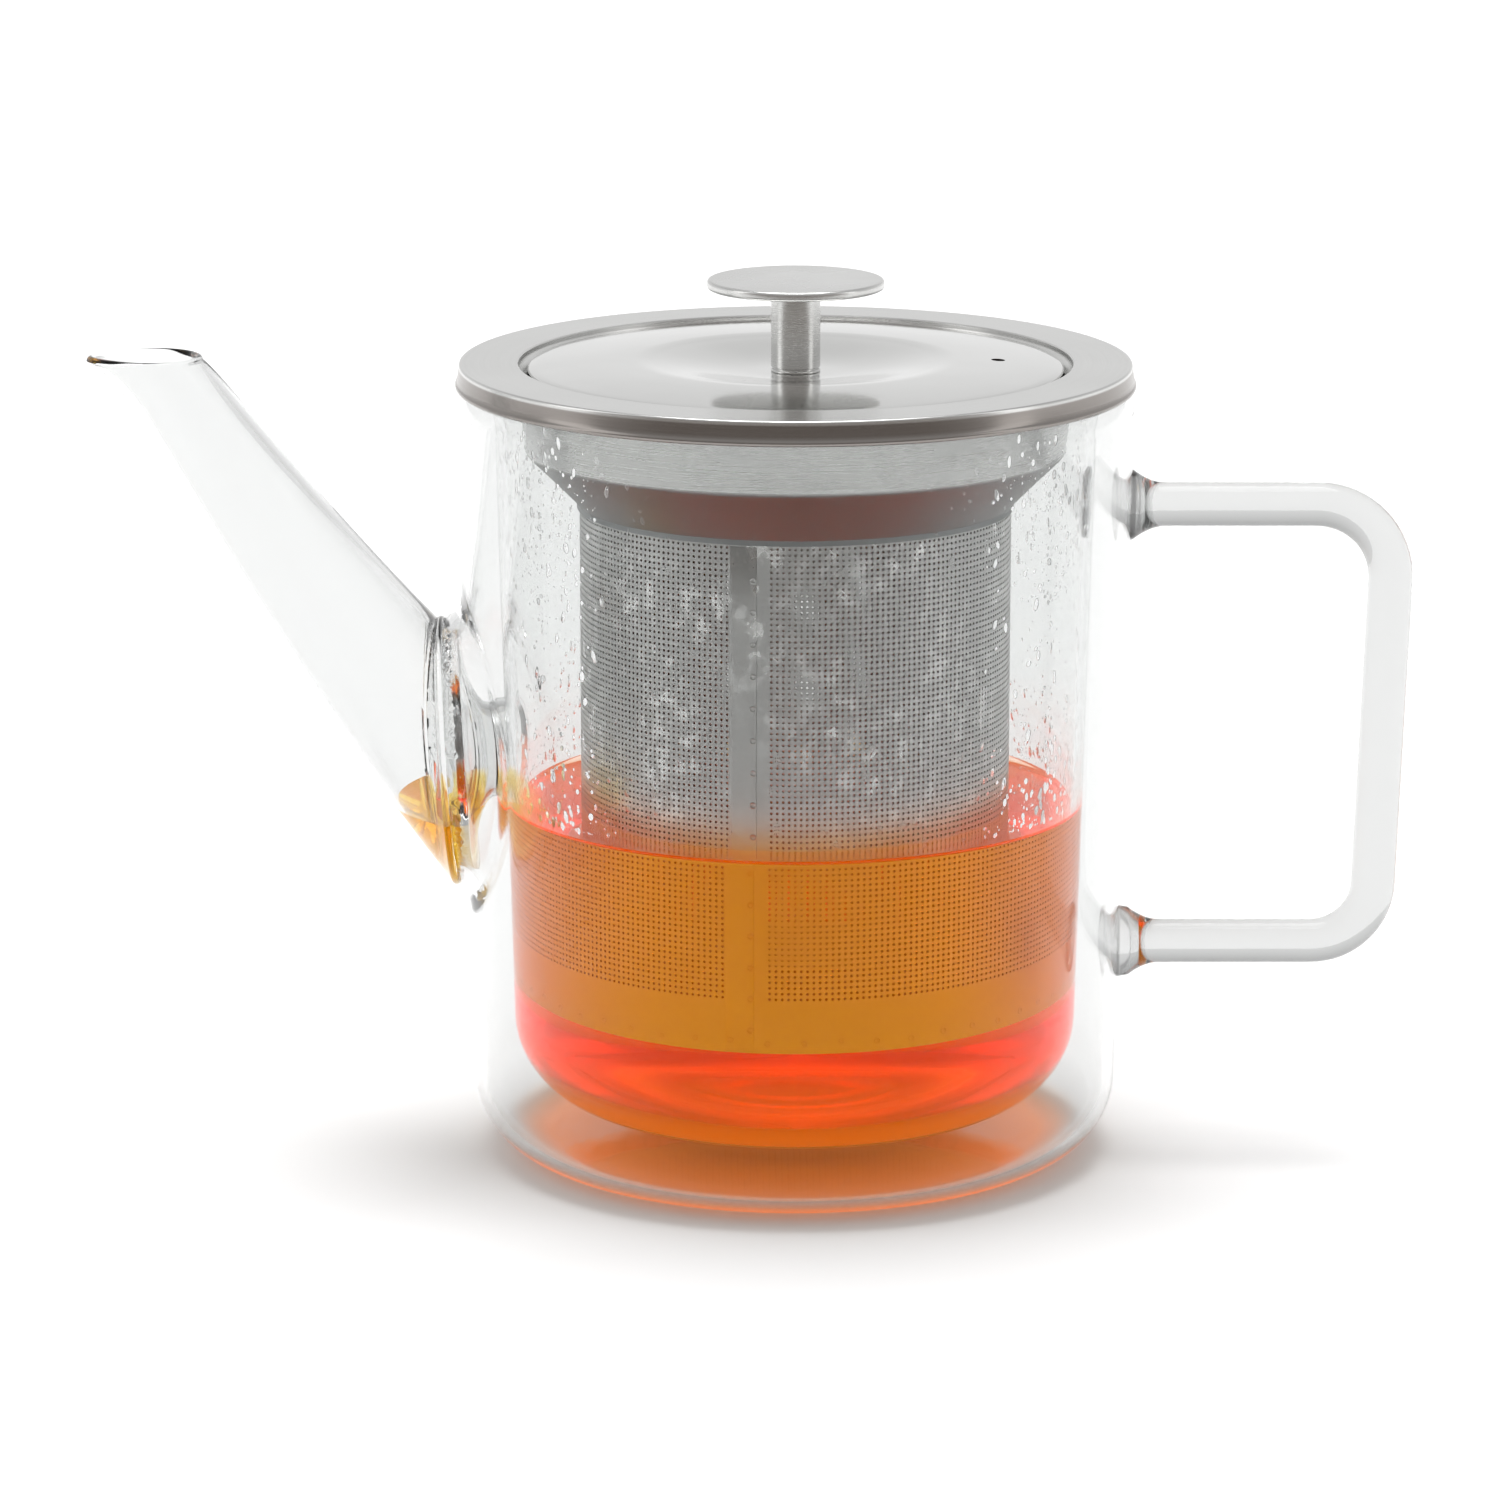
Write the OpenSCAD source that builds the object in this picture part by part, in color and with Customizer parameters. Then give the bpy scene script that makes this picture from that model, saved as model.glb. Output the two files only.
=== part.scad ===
// Double-walled glass teapot with a drop-in steel infuser and a steel lid.
// Origin: centre of the base, +Z up, spout towards -X, handle towards +X. Millimetres.

/* [Outer glass] */
// Outside radius of the pot just under the rim
pot_top_r = 59.1; // [57:0.1:62]
// Outside radius of the pot just above the base
pot_base_r = 57; // [55:0.1:59]
// Height of the glass rim
pot_h = 139.7; // [136:0.1:144]
// Thickness of the outer glass
outer_wall = 2; // [1.5:0.1:2.5]
// Radius of the rounded corner at the base
base_corner_r = 13; // [8:0.5:18]
// Radius of the shoulder under the rim
shoulder_r = 7; // [6:0.1:7.4]

/* [Inner vessel] */
// Outside radius of the inner vessel at the rim
vessel_top_r = 52.6; // [52.2:0.1:53.4]
// Outside radius of the inner vessel near its floor
vessel_base_r = 49.9; // [49.5:0.1:51]
// Height of the underside of the vessel's floor
vessel_floor_z = 8.8; // [6:0.1:10]
// Thickness of the inner glass
vessel_wall = 1.8; // [1.4:0.1:2.2]
// Outside radius of the vessel's bottom corner
vessel_corner_r = 16; // [12:0.5:20]

/* [Spout] */
// Height of the level mouth
mouth_z = 141.8; // [138:0.1:146]
// Distance of the mouth's outer edge from the pot's axis
mouth_reach = 120.6; // [116:0.1:124]
// Length of the mouth from front to back
mouth_len = 17.4; // [14:0.1:20]
// Width of the mouth across the spout
mouth_w = 17.2; // [14:0.1:20]
// How far the pouring lip stands out of the mouth
lip_len = 3; // [1:0.1:4]
// Outside radius of the spout where it is fused on
spout_ring_r = 23.4; // [21:0.1:25]
// Height of the centre of the spout's fused end
spout_ring_z = 71.2; // [66:0.1:76]
// Distance of the spout's fused end from the pot's axis
spout_ring_x = 61.1; // [60.5:0.1:63]
// Lean of the spout's fused end from upright, in degrees
spout_ring_tilt = 3.6; // [0:0.1:5]
// Thickness of the spout's glass
spout_wall = 1.7; // [1.3:0.1:2.2]
// Inside radius of the port in the inner vessel
port_r = 7.4; // [5:0.1:9]

/* [Handle] */
// Diameter of the handle's glass rod
rod_d = 7.8; // [6:0.1:9]
// Height of the upper bar's axis
upper_bar_z = 115.4; // [110:0.1:118]
// Height of the lower bar's axis
lower_bar_z = 36.3; // [32:0.1:42]
// Reach of the grip's axis at the upper bar
upper_reach = 105; // [95:0.1:115]
// Reach of the grip's axis at the lower bar
lower_reach = 102.3; // [95:0.1:115]
// Bend radius of the upper corner
upper_bend_r = 13; // [10:0.5:16]
// Bend radius of the lower corner
lower_bend_r = 11; // [9:0.5:16]
// Radius of the fused bosses where they meet the pot
boss_r = 6.6; // [5.5:0.1:8]

/* [Infuser] */
// Height of the top face of the flange
flange_top_z = 140.9; // [140.7:0.1:141.2]
// Outside radius of the band that turns down over the glass
flange_r = 58.9; // [58.9:0.1:60]
// Thickness of the flange and its band
flange_t = 0.7; // [0.5:0.1:0.7]
// Outside radius of the collar
collar_r = 47.5; // [47.3:0.1:48]
// Thickness of the collar's sheet
collar_t = 0.5; // [0.4:0.1:0.6]
// Height where the collar starts to slope in
collar_bottom_z = 126.3; // [122:0.1:128]
// Outside radius of the perforated basket
basket_r = 37.8; // [34:0.1:38]
// Thickness of the basket's sheet
basket_t = 0.5; // [0.4:0.1:0.6]
// Height of the underside of the basket
basket_bottom_z = 27.4; // [20:0.1:40]

/* [Lid] */
// Outside radius of the lid
lid_r = 46.7; // [46.5:0.1:46.7]
// Height of the top of the lid's crease
lid_crease_z = 141.3; // [141:0.1:142]
// Radius of the crease round the middle dish
lid_crease_r = 27; // [20:0.5:32]
// Height of the lid's top face at the middle
lid_middle_z = 139.1; // [138.6:0.1:139.6]
// Thickness of the lid's sheet
lid_t = 0.8; // [0.6:0.1:0.9]
// Diameter of the vent hole
vent_d = 2.4; // [1.5:0.1:4]
// Distance of the vent hole from the lid's axis
vent_x = 35.3; // [30:0.1:40]

/* [Knob] */
// Diameter of the knob's disc
knob_d = 30.9; // [24:0.1:36]
// Height of the top of the disc
knob_top_z = 155.3; // [152:0.1:160]
// Thickness of the disc
knob_t = 1.6; // [1:0.1:3]
// Diameter of the stem
stem_d = 8.6; // [7:0.1:10]

/* [Hidden] */
$fn = 96;

// past a face, so that a cut goes right through
eps = 0.5;
arc_steps = 12;

// outer glass
shoulder_z = pot_h - shoulder_r;
shoulder_cx = pot_top_r - shoulder_r;
base_corner_cx = pot_base_r - base_corner_r;

// inner vessel
vessel_corner_cx = vessel_base_r - vessel_corner_r;
vessel_corner_z = vessel_floor_z + vessel_corner_r;
rim_round = 0.8;

// fused end of the spout: a ring between the stub on the pot and the spout
ring_half = 0.9;
ring_bulge = 0.5;
stub_root_r = spout_ring_r + 3.2;
stub_mid_r = spout_ring_r + 1.6;
stub_end_r = spout_ring_r + 0.4;
stub_fillet = 3;
stub_bore_r = spout_ring_r - spout_wall;
neck_wall = 1.4;
neck_inner_r = stub_bore_r - neck_wall;
stub_len = 14;
ring_inner_r = neck_inner_r;
bell_depth = 8.4;
neck_reach = 16;

// spout stations run from the mouth (0) to the fused end (1)
stations = 20;
spout_sides = 40;
station_bias = 1.35;
flare_power = 2.4;
lip_decay = 0.022;
lip_width = 38;
end_thickening = 1.3;
thickening_power = 6;
ring_c = [-spout_ring_x, spout_ring_z];
ring_out = [-cos(spout_ring_tilt), -sin(spout_ring_tilt)];
ring_up = [-sin(spout_ring_tilt), cos(spout_ring_tilt)];
spout_end_c = ring_c + ring_half * ring_out;
upper_mouth = [mouth_len - mouth_reach, mouth_z];
upper_pull = [-82, 115];
upper_end = spout_end_c + spout_ring_r * ring_up;
lower_mouth = [-mouth_reach, mouth_z];
lower_pull_a = [-103, 109];
lower_pull_b = [-84.5, 79];
lower_end = spout_end_c - spout_ring_r * ring_up;

// handle
rod_start_x = 66;
rod_sides = 28;
bend_steps = 12;
boss_root_x = 54;
boss_face_x = 60;
grip_lean = atan((upper_reach - lower_reach) / (upper_bar_z - lower_bar_z));
upper_tangent = upper_bend_r * tan((90 + grip_lean) / 2);
lower_tangent = lower_bend_r * tan((90 - grip_lean) / 2);

// infuser
lip_drop = 4.3;
lip_bottom_z = flange_top_z - lip_drop;
bead_r = 0.55;
bead_inset = 0.1;
flange_round = 0.7;
flange_inner_r = 48.6;
collar_round = 1.2;
collar_fillet = 0.4;
bend_ease = 0.2;
shoulder_drop = 8.8;
sleeve_top_z = collar_bottom_z - shoulder_drop;
sleeve_h = 1.6;
sleeve_bottom_z = sleeve_top_z - sleeve_h;
floor_t = 0.6;
floor_skirt_h = 3.6;
seam_start = -17.2;
seam_end = -10.3;
seam_t = 0.25;
seam_gap = 2;

// lid
lid_edge_z = 140.2;
lid_edge_round = 0.5;
lid_flat_r = 6;
crease_half = 1;
crease_drop = 0.12;
edge_return = 1.6;
skirt_r = 46.3;
skirt_t = 0.5;
skirt_bottom_z = 126.4;
screw_r = 1.5;
screw_hole_r = 1.6;
screw_head_r = 2.8;
screw_head_h = 2;
screw_depth = 8;
slot_w = 0.8;
slot_depth = 0.8;
washer_r = 4.4;
washer_t = 0.5;
disc_edge = 0.6;
foot_h = 0.5;
foot_gap = 0.3;
groove_depth = 0.3;

glass = [0.82, 0.9, 0.92, 0.45];

// points of a circular arc from angle a0 to a1
function arc(cx, cy, r, a0, a1, n = arc_steps) =
    [for (i = [0:n]) let (a = a0 + (a1 - a0) * i / n) [cx + r * cos(a), cy + r * sin(a)]];

// points on Bezier curves
function bend2(a, b, c, t) = (1 - t) * (1 - t) * a + 2 * t * (1 - t) * b + t * t * c;
function bend3(a, b, c, d, t) = (1 - t) * bend2(a, b, c, t) + t * bend2(b, c, d, t);

function station_t(i) = pow(i / stations, station_bias);
function upper_line(t) = bend2(upper_mouth, upper_pull, upper_end, t);
function lower_line(t) = bend3(lower_mouth, lower_pull_a, lower_pull_b, lower_end, t);
function half_width(t) = mouth_w / 2 + (spout_ring_r - mouth_w / 2) * pow(t, flare_power);

// wall of the spout, thicker where it is fused to the ring
function spout_wall_at(t) = spout_wall + end_thickening * pow(t, thickening_power);

// one ring of the spout's surface, moved inwards by inset
function spout_ring(t, inset) =
    let (
        up = upper_line(t),
        low = lower_line(t),
        mid = (up + low) / 2,
        half = (up - low) / 2,
        size = norm(half),
        k = (size - inset) / size,
        w = half_width(t) - inset,
        lip = lip_len * exp(-t / lip_decay)
    )
    [for (j = [0:spout_sides - 1])
        let (
            a = 360 * j / spout_sides,
            stand_out = lip * exp(-pow((a - 180) / lip_width, 2)),
            p = mid + half * k * cos(a)
        )
        [p[0] - stand_out, w * sin(a), p[1]]
    ];

// closed shell between two stacks of rings
module tube_shell(outer, inner) {
    rows = len(outer);
    n = len(outer[0]);
    points = [for (ring = concat(outer, inner)) each ring];
    far = rows * n;
    faces = [
        for (i = [0:rows - 2], j = [0:n - 1])
            let (a = i * n + j, b = i * n + (j + 1) % n)
            each [[a, b, b + n], [a, b + n, a + n], [far + a, far + b + n, far + b],
                [far + a, far + a + n, far + b + n]],
        for (j = [0:n - 1])
            let (a = j, b = (j + 1) % n, c = (rows - 1) * n + j, d = (rows - 1) * n + (j + 1) % n)
            each [[a, far + b, b], [a, far + a, far + b], [c, d, far + d], [c, far + d, far + c]]
    ];
    polyhedron(points = points, faces = faces, convexity = 6);
}

// places a turned shape at the fused end of the spout, its axis pointing out of the pot
module at_spout_ring() {
    translate([-spout_ring_x, 0, spout_ring_z])
        rotate([0, -90 - spout_ring_tilt, 0])
            children();
}

// solid that the outside of the pot bounds
module pot_solid() {
    rotate_extrude()
        polygon(concat(
            [[0, 0]],
            arc(base_corner_cx, base_corner_r, base_corner_r, -90, 0),
            arc(shoulder_cx, shoulder_z, shoulder_r, 0, 90),
            [[0, pot_h]]
        ));
}

// solid that the inside of the outer glass bounds
module pot_hollow() {
    rotate_extrude()
        polygon(concat(
            [[0, outer_wall]],
            arc(base_corner_cx, base_corner_r, base_corner_r - outer_wall, -90, 0),
            arc(shoulder_cx, shoulder_z, shoulder_r - outer_wall, 0, 85),
            [[vessel_top_r, pot_h + eps], [0, pot_h + eps]]
        ));
}

// solid that the inside of the vessel bounds
module vessel_hollow() {
    rotate_extrude()
        polygon(concat(
            [[0, vessel_floor_z + vessel_wall]],
            arc(vessel_corner_cx, vessel_corner_z, vessel_corner_r - vessel_wall, -90, 0),
            [[vessel_top_r - vessel_wall, pot_h - rim_round]],
            [[vessel_top_r - vessel_wall + rim_round, pot_h], [0, pot_h]]
        ));
}

module outer_glass_wall() {
    color(glass) {
        difference() {
            pot_solid();
            pot_hollow();
            at_spout_ring()
                translate([0, 0, -stub_len])
                    cylinder(r = stub_bore_r, h = stub_len + eps);
        }
        difference() {
            at_spout_ring()
                rotate_extrude()
                    polygon([
                        [stub_bore_r, -stub_len],
                        [stub_root_r, -stub_len],
                        [stub_mid_r, -stub_len / 2],
                        [stub_end_r, -stub_fillet],
                        [spout_ring_r, -ring_half],
                        [stub_bore_r, -ring_half]
                    ]);
            pot_solid();
        }
    }
}

module inner_glass_vessel() {
    color(glass)
        difference() {
            rotate_extrude()
                polygon(concat(
                    [[0, vessel_floor_z]],
                    arc(vessel_corner_cx, vessel_corner_z, vessel_corner_r, -90, 0),
                    [[vessel_top_r, shoulder_z]],
                    [[vessel_top_r, pot_h]],
                    arc(vessel_top_r - vessel_wall + rim_round, pot_h - rim_round, rim_round, 90, 180, 4),
                    [[vessel_top_r - vessel_wall, shoulder_z]],
                    arc(vessel_corner_cx, vessel_corner_z, vessel_corner_r - vessel_wall, 0, -90),
                    [[0, vessel_floor_z + vessel_wall]]
                ));
            at_spout_ring()
                translate([0, 0, -2 * stub_len])
                    cylinder(r = port_r + neck_wall, h = 2 * stub_len);
        }
}

// flared throat: a short tube at the port that opens out like a bell to the fused ring
module spout_neck() {
    tube_r = port_r + neck_wall;
    inner_flare = neck_inner_r - port_r;
    outer_flare = stub_bore_r - tube_r;
    bell_start = -ring_half - bell_depth;
    color(glass)
        difference() {
            at_spout_ring()
                rotate_extrude()
                    polygon(concat(
                        [[tube_r, -neck_reach]],
                        [for (i = [0:arc_steps])
                            let (a = 90 * i / arc_steps)
                            [tube_r + outer_flare * (1 - cos(a)),
                                bell_start + (bell_depth - neck_wall) * sin(a)]],
                        [[stub_bore_r, -ring_half]],
                        [for (i = [arc_steps:-1:0])
                            let (a = 90 * i / arc_steps)
                            [port_r + inner_flare * (1 - cos(a)), bell_start + bell_depth * sin(a)]],
                        [[port_r, -neck_reach]]
                    ));
            vessel_hollow();
        }
}

module spout_weld_ring() {
    color(glass)
        at_spout_ring()
            rotate_extrude()
                polygon(concat(
                    [[ring_inner_r, -ring_half]],
                    [for (i = [0:arc_steps])
                        let (a = 180 * i / arc_steps)
                        [spout_ring_r + ring_bulge * sin(a), -ring_half * cos(a)]],
                    [[ring_inner_r, ring_half]]
                ));
}

module spout_tube() {
    outer = [for (i = [0:stations]) spout_ring(station_t(i), 0)];
    inner = [for (i = [0:stations]) spout_ring(station_t(i), spout_wall_at(station_t(i)))];
    color(glass)
        tube_shell(outer, inner);
}

// ring of points round the rod at place c, where angle a points to the outside of its bend
function rod_ring(c, a) =
    [for (j = [0:rod_sides - 1])
        let (b = 360 * j / rod_sides, out = rod_d / 2 * cos(b))
        [c[0] + out * cos(a), rod_d / 2 * sin(b), c[1] + out * sin(a)]];

function rod_bend(c, r, a0, a1) =
    [for (i = [0:bend_steps])
        let (a = a0 + (a1 - a0) * i / bend_steps)
        rod_ring(c + r * [cos(a), sin(a)], a)];

// round rod bent into a D with a leaning grip
module handle_rod() {
    upper_c = [upper_reach - upper_tangent, upper_bar_z - upper_bend_r];
    lower_c = [lower_reach - lower_tangent, lower_bar_z + lower_bend_r];
    rings = concat(
        [rod_ring([rod_start_x, upper_bar_z], 90)],
        rod_bend(upper_c, upper_bend_r, 90, -grip_lean),
        rod_bend(lower_c, lower_bend_r, -grip_lean, -90),
        [rod_ring([rod_start_x, lower_bar_z], -90)]
    );
    last = (len(rings) - 1) * rod_sides;
    faces = concat(
        [[for (j = [0:rod_sides - 1]) j]],
        [[for (j = [rod_sides - 1:-1:0]) last + j]],
        [for (i = [0:len(rings) - 2], j = [0:rod_sides - 1])
            let (a = i * rod_sides + j, b = i * rod_sides + (j + 1) % rod_sides)
            [a, a + rod_sides, b + rod_sides, b]]
    );
    color(glass)
        polyhedron(points = [for (ring = rings) each ring], faces = faces, convexity = 4);
}

// fused boss: flares from the rod to the pot's wall
module boss(z) {
    flare = boss_r - rod_d / 2;
    run = rod_start_x - boss_face_x;
    difference() {
        translate([0, 0, z])
            rotate([0, 90, 0])
                rotate_extrude()
                    polygon(concat(
                        [[0, boss_root_x]],
                        [[boss_r, boss_root_x]],
                        [for (i = [0:arc_steps])
                            let (a = 90 * i / arc_steps)
                            [boss_r - flare * sin(a), boss_face_x + run * (1 - cos(a))]],
                        [[0, rod_start_x]]
                    ));
        pot_solid();
    }
}

module handle_weld_upper() {
    color(glass)
        boss(upper_bar_z);
}

module handle_weld_lower() {
    color(glass)
        boss(lower_bar_z);
}

// flat rim ring whose edge turns down over the glass and ends in a rolled bead
module infuser_flange() {
    color("silver")
        rotate_extrude() {
            polygon(concat(
                [[flange_inner_r, flange_top_z - flange_t]],
                [[flange_r - flange_t, flange_top_z - flange_t]],
                [[flange_r - flange_t, lip_bottom_z + bead_r]],
                [[flange_r, lip_bottom_z + bead_r]],
                arc(flange_r - flange_round, flange_top_z - flange_round, flange_round, 0, 90, 5),
                [[flange_inner_r, flange_top_z]]
            ));
            translate([flange_r - bead_inset, lip_bottom_z + bead_r])
                circle(r = bead_r, $fn = 24);
        }
}

// collar with a rolled top edge, a straight wall, a sloping shoulder and a short sleeve
module infuser_collar() {
    color("silver")
        rotate_extrude()
            polygon(concat(
                [[flange_inner_r, flange_top_z]],
                arc(collar_r + collar_round - collar_t, flange_top_z - collar_round, collar_round, 90, 180, 6),
                [[collar_r - collar_t, collar_bottom_z + bend_ease]],
                [[basket_r, sleeve_top_z]],
                [[basket_r, sleeve_bottom_z]],
                [[basket_r + collar_t, sleeve_bottom_z]],
                [[basket_r + collar_t, sleeve_top_z - bend_ease]],
                [[collar_r, collar_bottom_z]],
                [[collar_r, flange_top_z - flange_t - collar_fillet]],
                [[collar_r + collar_fillet, flange_top_z - flange_t]],
                [[flange_inner_r, flange_top_z - flange_t]]
            ));
}

// rolled sheet with a lapped seam at the front
module basket_wall() {
    height = sleeve_top_z - basket_bottom_z;
    color("gray") {
        translate([0, 0, basket_bottom_z])
            difference() {
                cylinder(r = basket_r, h = height);
                translate([0, 0, -eps])
                    cylinder(r = basket_r - basket_t, h = height + 2 * eps);
            }
        translate([0, 0, basket_bottom_z])
            rotate([0, 0, -90 + seam_start])
                rotate_extrude(angle = seam_end - seam_start)
                    translate([basket_r - basket_t / 2, 0])
                        square([basket_t / 2 + seam_t, height - seam_gap]);
    }
}

// bottom cap with a short wall that stands inside the basket
module basket_floor() {
    inner_r = basket_r - basket_t;
    color("gray")
        rotate_extrude()
            polygon([
                [0, basket_bottom_z],
                [inner_r, basket_bottom_z],
                [inner_r, basket_bottom_z + floor_skirt_h],
                [inner_r - basket_t, basket_bottom_z + floor_skirt_h],
                [inner_r - basket_t, basket_bottom_z + floor_t],
                [0, basket_bottom_z + floor_t]
            ]);
}

// top face: rolled edge, gently rising rim, crease, shallow dish
module lid_cover() {
    under_z = lid_middle_z - lid_t;
    cut_h = 6;
    color("lightgray")
        difference() {
            rotate_extrude()
                polygon(concat(
                    [[0, under_z]],
                    [[lid_flat_r, under_z]],
                    [[lid_crease_r, lid_crease_z - lid_t - crease_drop]],
                    [[lid_r - edge_return, lid_edge_z - lid_t]],
                    [[lid_r - 2 * lid_edge_round, lid_edge_z - 2 * lid_edge_round]],
                    arc(lid_r - lid_edge_round, lid_edge_z - lid_edge_round, lid_edge_round, -90, 70, 8),
                    [[lid_crease_r + crease_half, lid_crease_z]],
                    [[lid_crease_r - crease_half, lid_crease_z - crease_drop]],
                    [[lid_flat_r, lid_middle_z]],
                    [[0, lid_middle_z]]
                ));
            translate([vent_x, 0, under_z - eps])
                cylinder(d = vent_d, h = cut_h);
            translate([0, 0, under_z - eps])
                cylinder(r = screw_hole_r, h = cut_h);
        }
}

module lid_skirt() {
    height = lid_edge_z - 2 * lid_edge_round - skirt_bottom_z;
    color("silver")
        translate([0, 0, skirt_bottom_z])
            difference() {
                cylinder(r = skirt_r, h = height);
                translate([0, 0, -eps])
                    cylinder(r = skirt_r - skirt_t, h = height + 2 * eps);
            }
}

// stem on a thin foot, tapped from below
module knob_stem() {
    top = knob_top_z - knob_t;
    color("silver")
        difference() {
            union() {
                translate([0, 0, lid_middle_z])
                    cylinder(d = stem_d, h = foot_h);
                translate([0, 0, lid_middle_z + foot_h])
                    cylinder(d = stem_d - 2 * groove_depth, h = foot_gap);
                translate([0, 0, lid_middle_z + foot_h + foot_gap])
                    cylinder(d = stem_d, h = top - lid_middle_z - foot_h - foot_gap);
            }
            translate([0, 0, lid_middle_z - eps])
                cylinder(r = screw_hole_r, h = screw_depth + 2 * eps);
        }
}

module knob_disc() {
    color("silver")
        translate([0, 0, knob_top_z - knob_t])
            rotate_extrude()
                polygon(concat(
                    [[0, 0]],
                    arc(knob_d / 2 - disc_edge, disc_edge, disc_edge, -90, 0, 5),
                    arc(knob_d / 2 - disc_edge, knob_t - disc_edge, disc_edge, 0, 90, 5),
                    [[0, knob_t]]
                ));
}

// pan-head screw up through the washer and the lid into the stem
module knob_screw() {
    head_top = lid_middle_z - lid_t - washer_t;
    color("dimgray")
        difference() {
            union() {
                translate([0, 0, head_top - screw_head_h])
                    cylinder(r = screw_head_r, h = screw_head_h);
                translate([0, 0, head_top])
                    cylinder(r = screw_r, h = lid_t + washer_t + screw_depth);
            }
            translate([-slot_w / 2, -screw_head_r, head_top - screw_head_h - eps])
                cube([slot_w, 2 * screw_head_r, eps + slot_depth]);
        }
}

module knob_washer() {
    color("gray")
        translate([0, 0, lid_middle_z - lid_t - washer_t])
            difference() {
                cylinder(r = washer_r, h = washer_t);
                translate([0, 0, -eps])
                    cylinder(r = screw_hole_r, h = washer_t + 2 * eps);
            }
}

outer_glass_wall();
inner_glass_vessel();
spout_neck();
spout_tube();
spout_weld_ring();
handle_rod();
handle_weld_upper();
handle_weld_lower();
infuser_flange();
infuser_collar();
basket_wall();
basket_floor();
lid_cover();
lid_skirt();
knob_stem();
knob_disc();
knob_screw();
knob_washer();
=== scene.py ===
import math
import random

import bpy
from mathutils import Matrix, Vector


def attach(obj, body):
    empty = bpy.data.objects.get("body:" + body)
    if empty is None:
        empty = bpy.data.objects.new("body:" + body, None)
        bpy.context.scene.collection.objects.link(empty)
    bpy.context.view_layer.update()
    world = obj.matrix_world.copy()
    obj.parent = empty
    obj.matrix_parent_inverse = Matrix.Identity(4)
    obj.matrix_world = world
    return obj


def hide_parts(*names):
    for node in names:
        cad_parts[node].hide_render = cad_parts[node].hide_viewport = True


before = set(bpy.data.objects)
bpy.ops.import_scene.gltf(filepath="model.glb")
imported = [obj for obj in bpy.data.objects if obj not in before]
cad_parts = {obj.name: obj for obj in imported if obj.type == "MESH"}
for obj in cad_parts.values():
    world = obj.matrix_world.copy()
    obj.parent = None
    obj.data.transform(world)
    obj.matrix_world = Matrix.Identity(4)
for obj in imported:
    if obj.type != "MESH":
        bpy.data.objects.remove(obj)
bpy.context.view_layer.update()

mm = 0.001
mergeGap = 0.002 * mm

# lengths in the dictionaries are in millimetres and angles in degrees


def arc(cx, cz, radius, start, end, steps=10):
    points = []
    for i in range(steps + 1):
        a = math.radians(start + (end - start) * i / steps)
        points.append((cx + radius * math.cos(a), cz + radius * math.sin(a)))
    return points


def line(a, b, step):
    # points from a towards b without b itself
    count = max(1, round(math.dist(a, b) / step))
    return [(a[0] + (b[0] - a[0]) * i / count, a[1] + (b[1] - a[1]) * i / count) for i in range(count)]


def mix(a, b, t):
    return a + (b - a) * t


def smooth(t):
    t = min(max(t, 0), 1)
    return t * t * (3 - 2 * t)


pot = {
    "topRadius": 59.1, "baseRadius": 57.0, "height": 139.7, "wall": 2.0, "baseCorner": 13.0,
    "shoulder": 7.0, "shoulderEnd": 84, "steps": 224,
}
vessel = {
    "topRadius": 52.6, "baseRadius": 49.9, "floor": 8.8, "wall": 1.8, "corner": 16.0, "rimRound": 0.9,
    "rimDrop": 0.4,
}


def potRadius(z):
    low = pot["baseCorner"]
    high = pot["height"] - pot["shoulder"]
    return mix(pot["baseRadius"], pot["topRadius"], min(max((z - low) / (high - low), 0), 1))


def vesselInnerRadius(z):
    low = vessel["floor"] + vessel["corner"]
    high = pot["height"] - pot["shoulder"]
    t = min(max((z - low) / (high - low), 0), 1)
    return mix(vessel["baseRadius"], vessel["topRadius"], t) - vessel["wall"]


def clearSelection():
    if bpy.context.object and bpy.context.object.mode != "OBJECT":
        bpy.ops.object.mode_set(mode="OBJECT")
    bpy.ops.object.select_all(action="DESELECT")


def pick(piece):
    clearSelection()
    piece.select_set(True)
    bpy.context.view_layer.objects.active = piece


def editAll(piece):
    pick(piece)
    bpy.ops.object.mode_set(mode="EDIT")
    bpy.ops.mesh.select_all(action="SELECT")


def weldAndFaceOut(piece):
    editAll(piece)
    bpy.ops.mesh.remove_doubles(threshold=mergeGap)
    bpy.ops.mesh.normals_make_consistent(inside=False)
    bpy.ops.object.mode_set(mode="OBJECT")


def smoothShade(piece, angle=38):
    pick(piece)
    bpy.ops.object.shade_smooth_by_angle(angle=math.radians(angle))


def applyAll(piece):
    pick(piece)
    for modifier in list(piece.modifiers):
        bpy.ops.object.modifier_apply(modifier=modifier.name)


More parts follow.
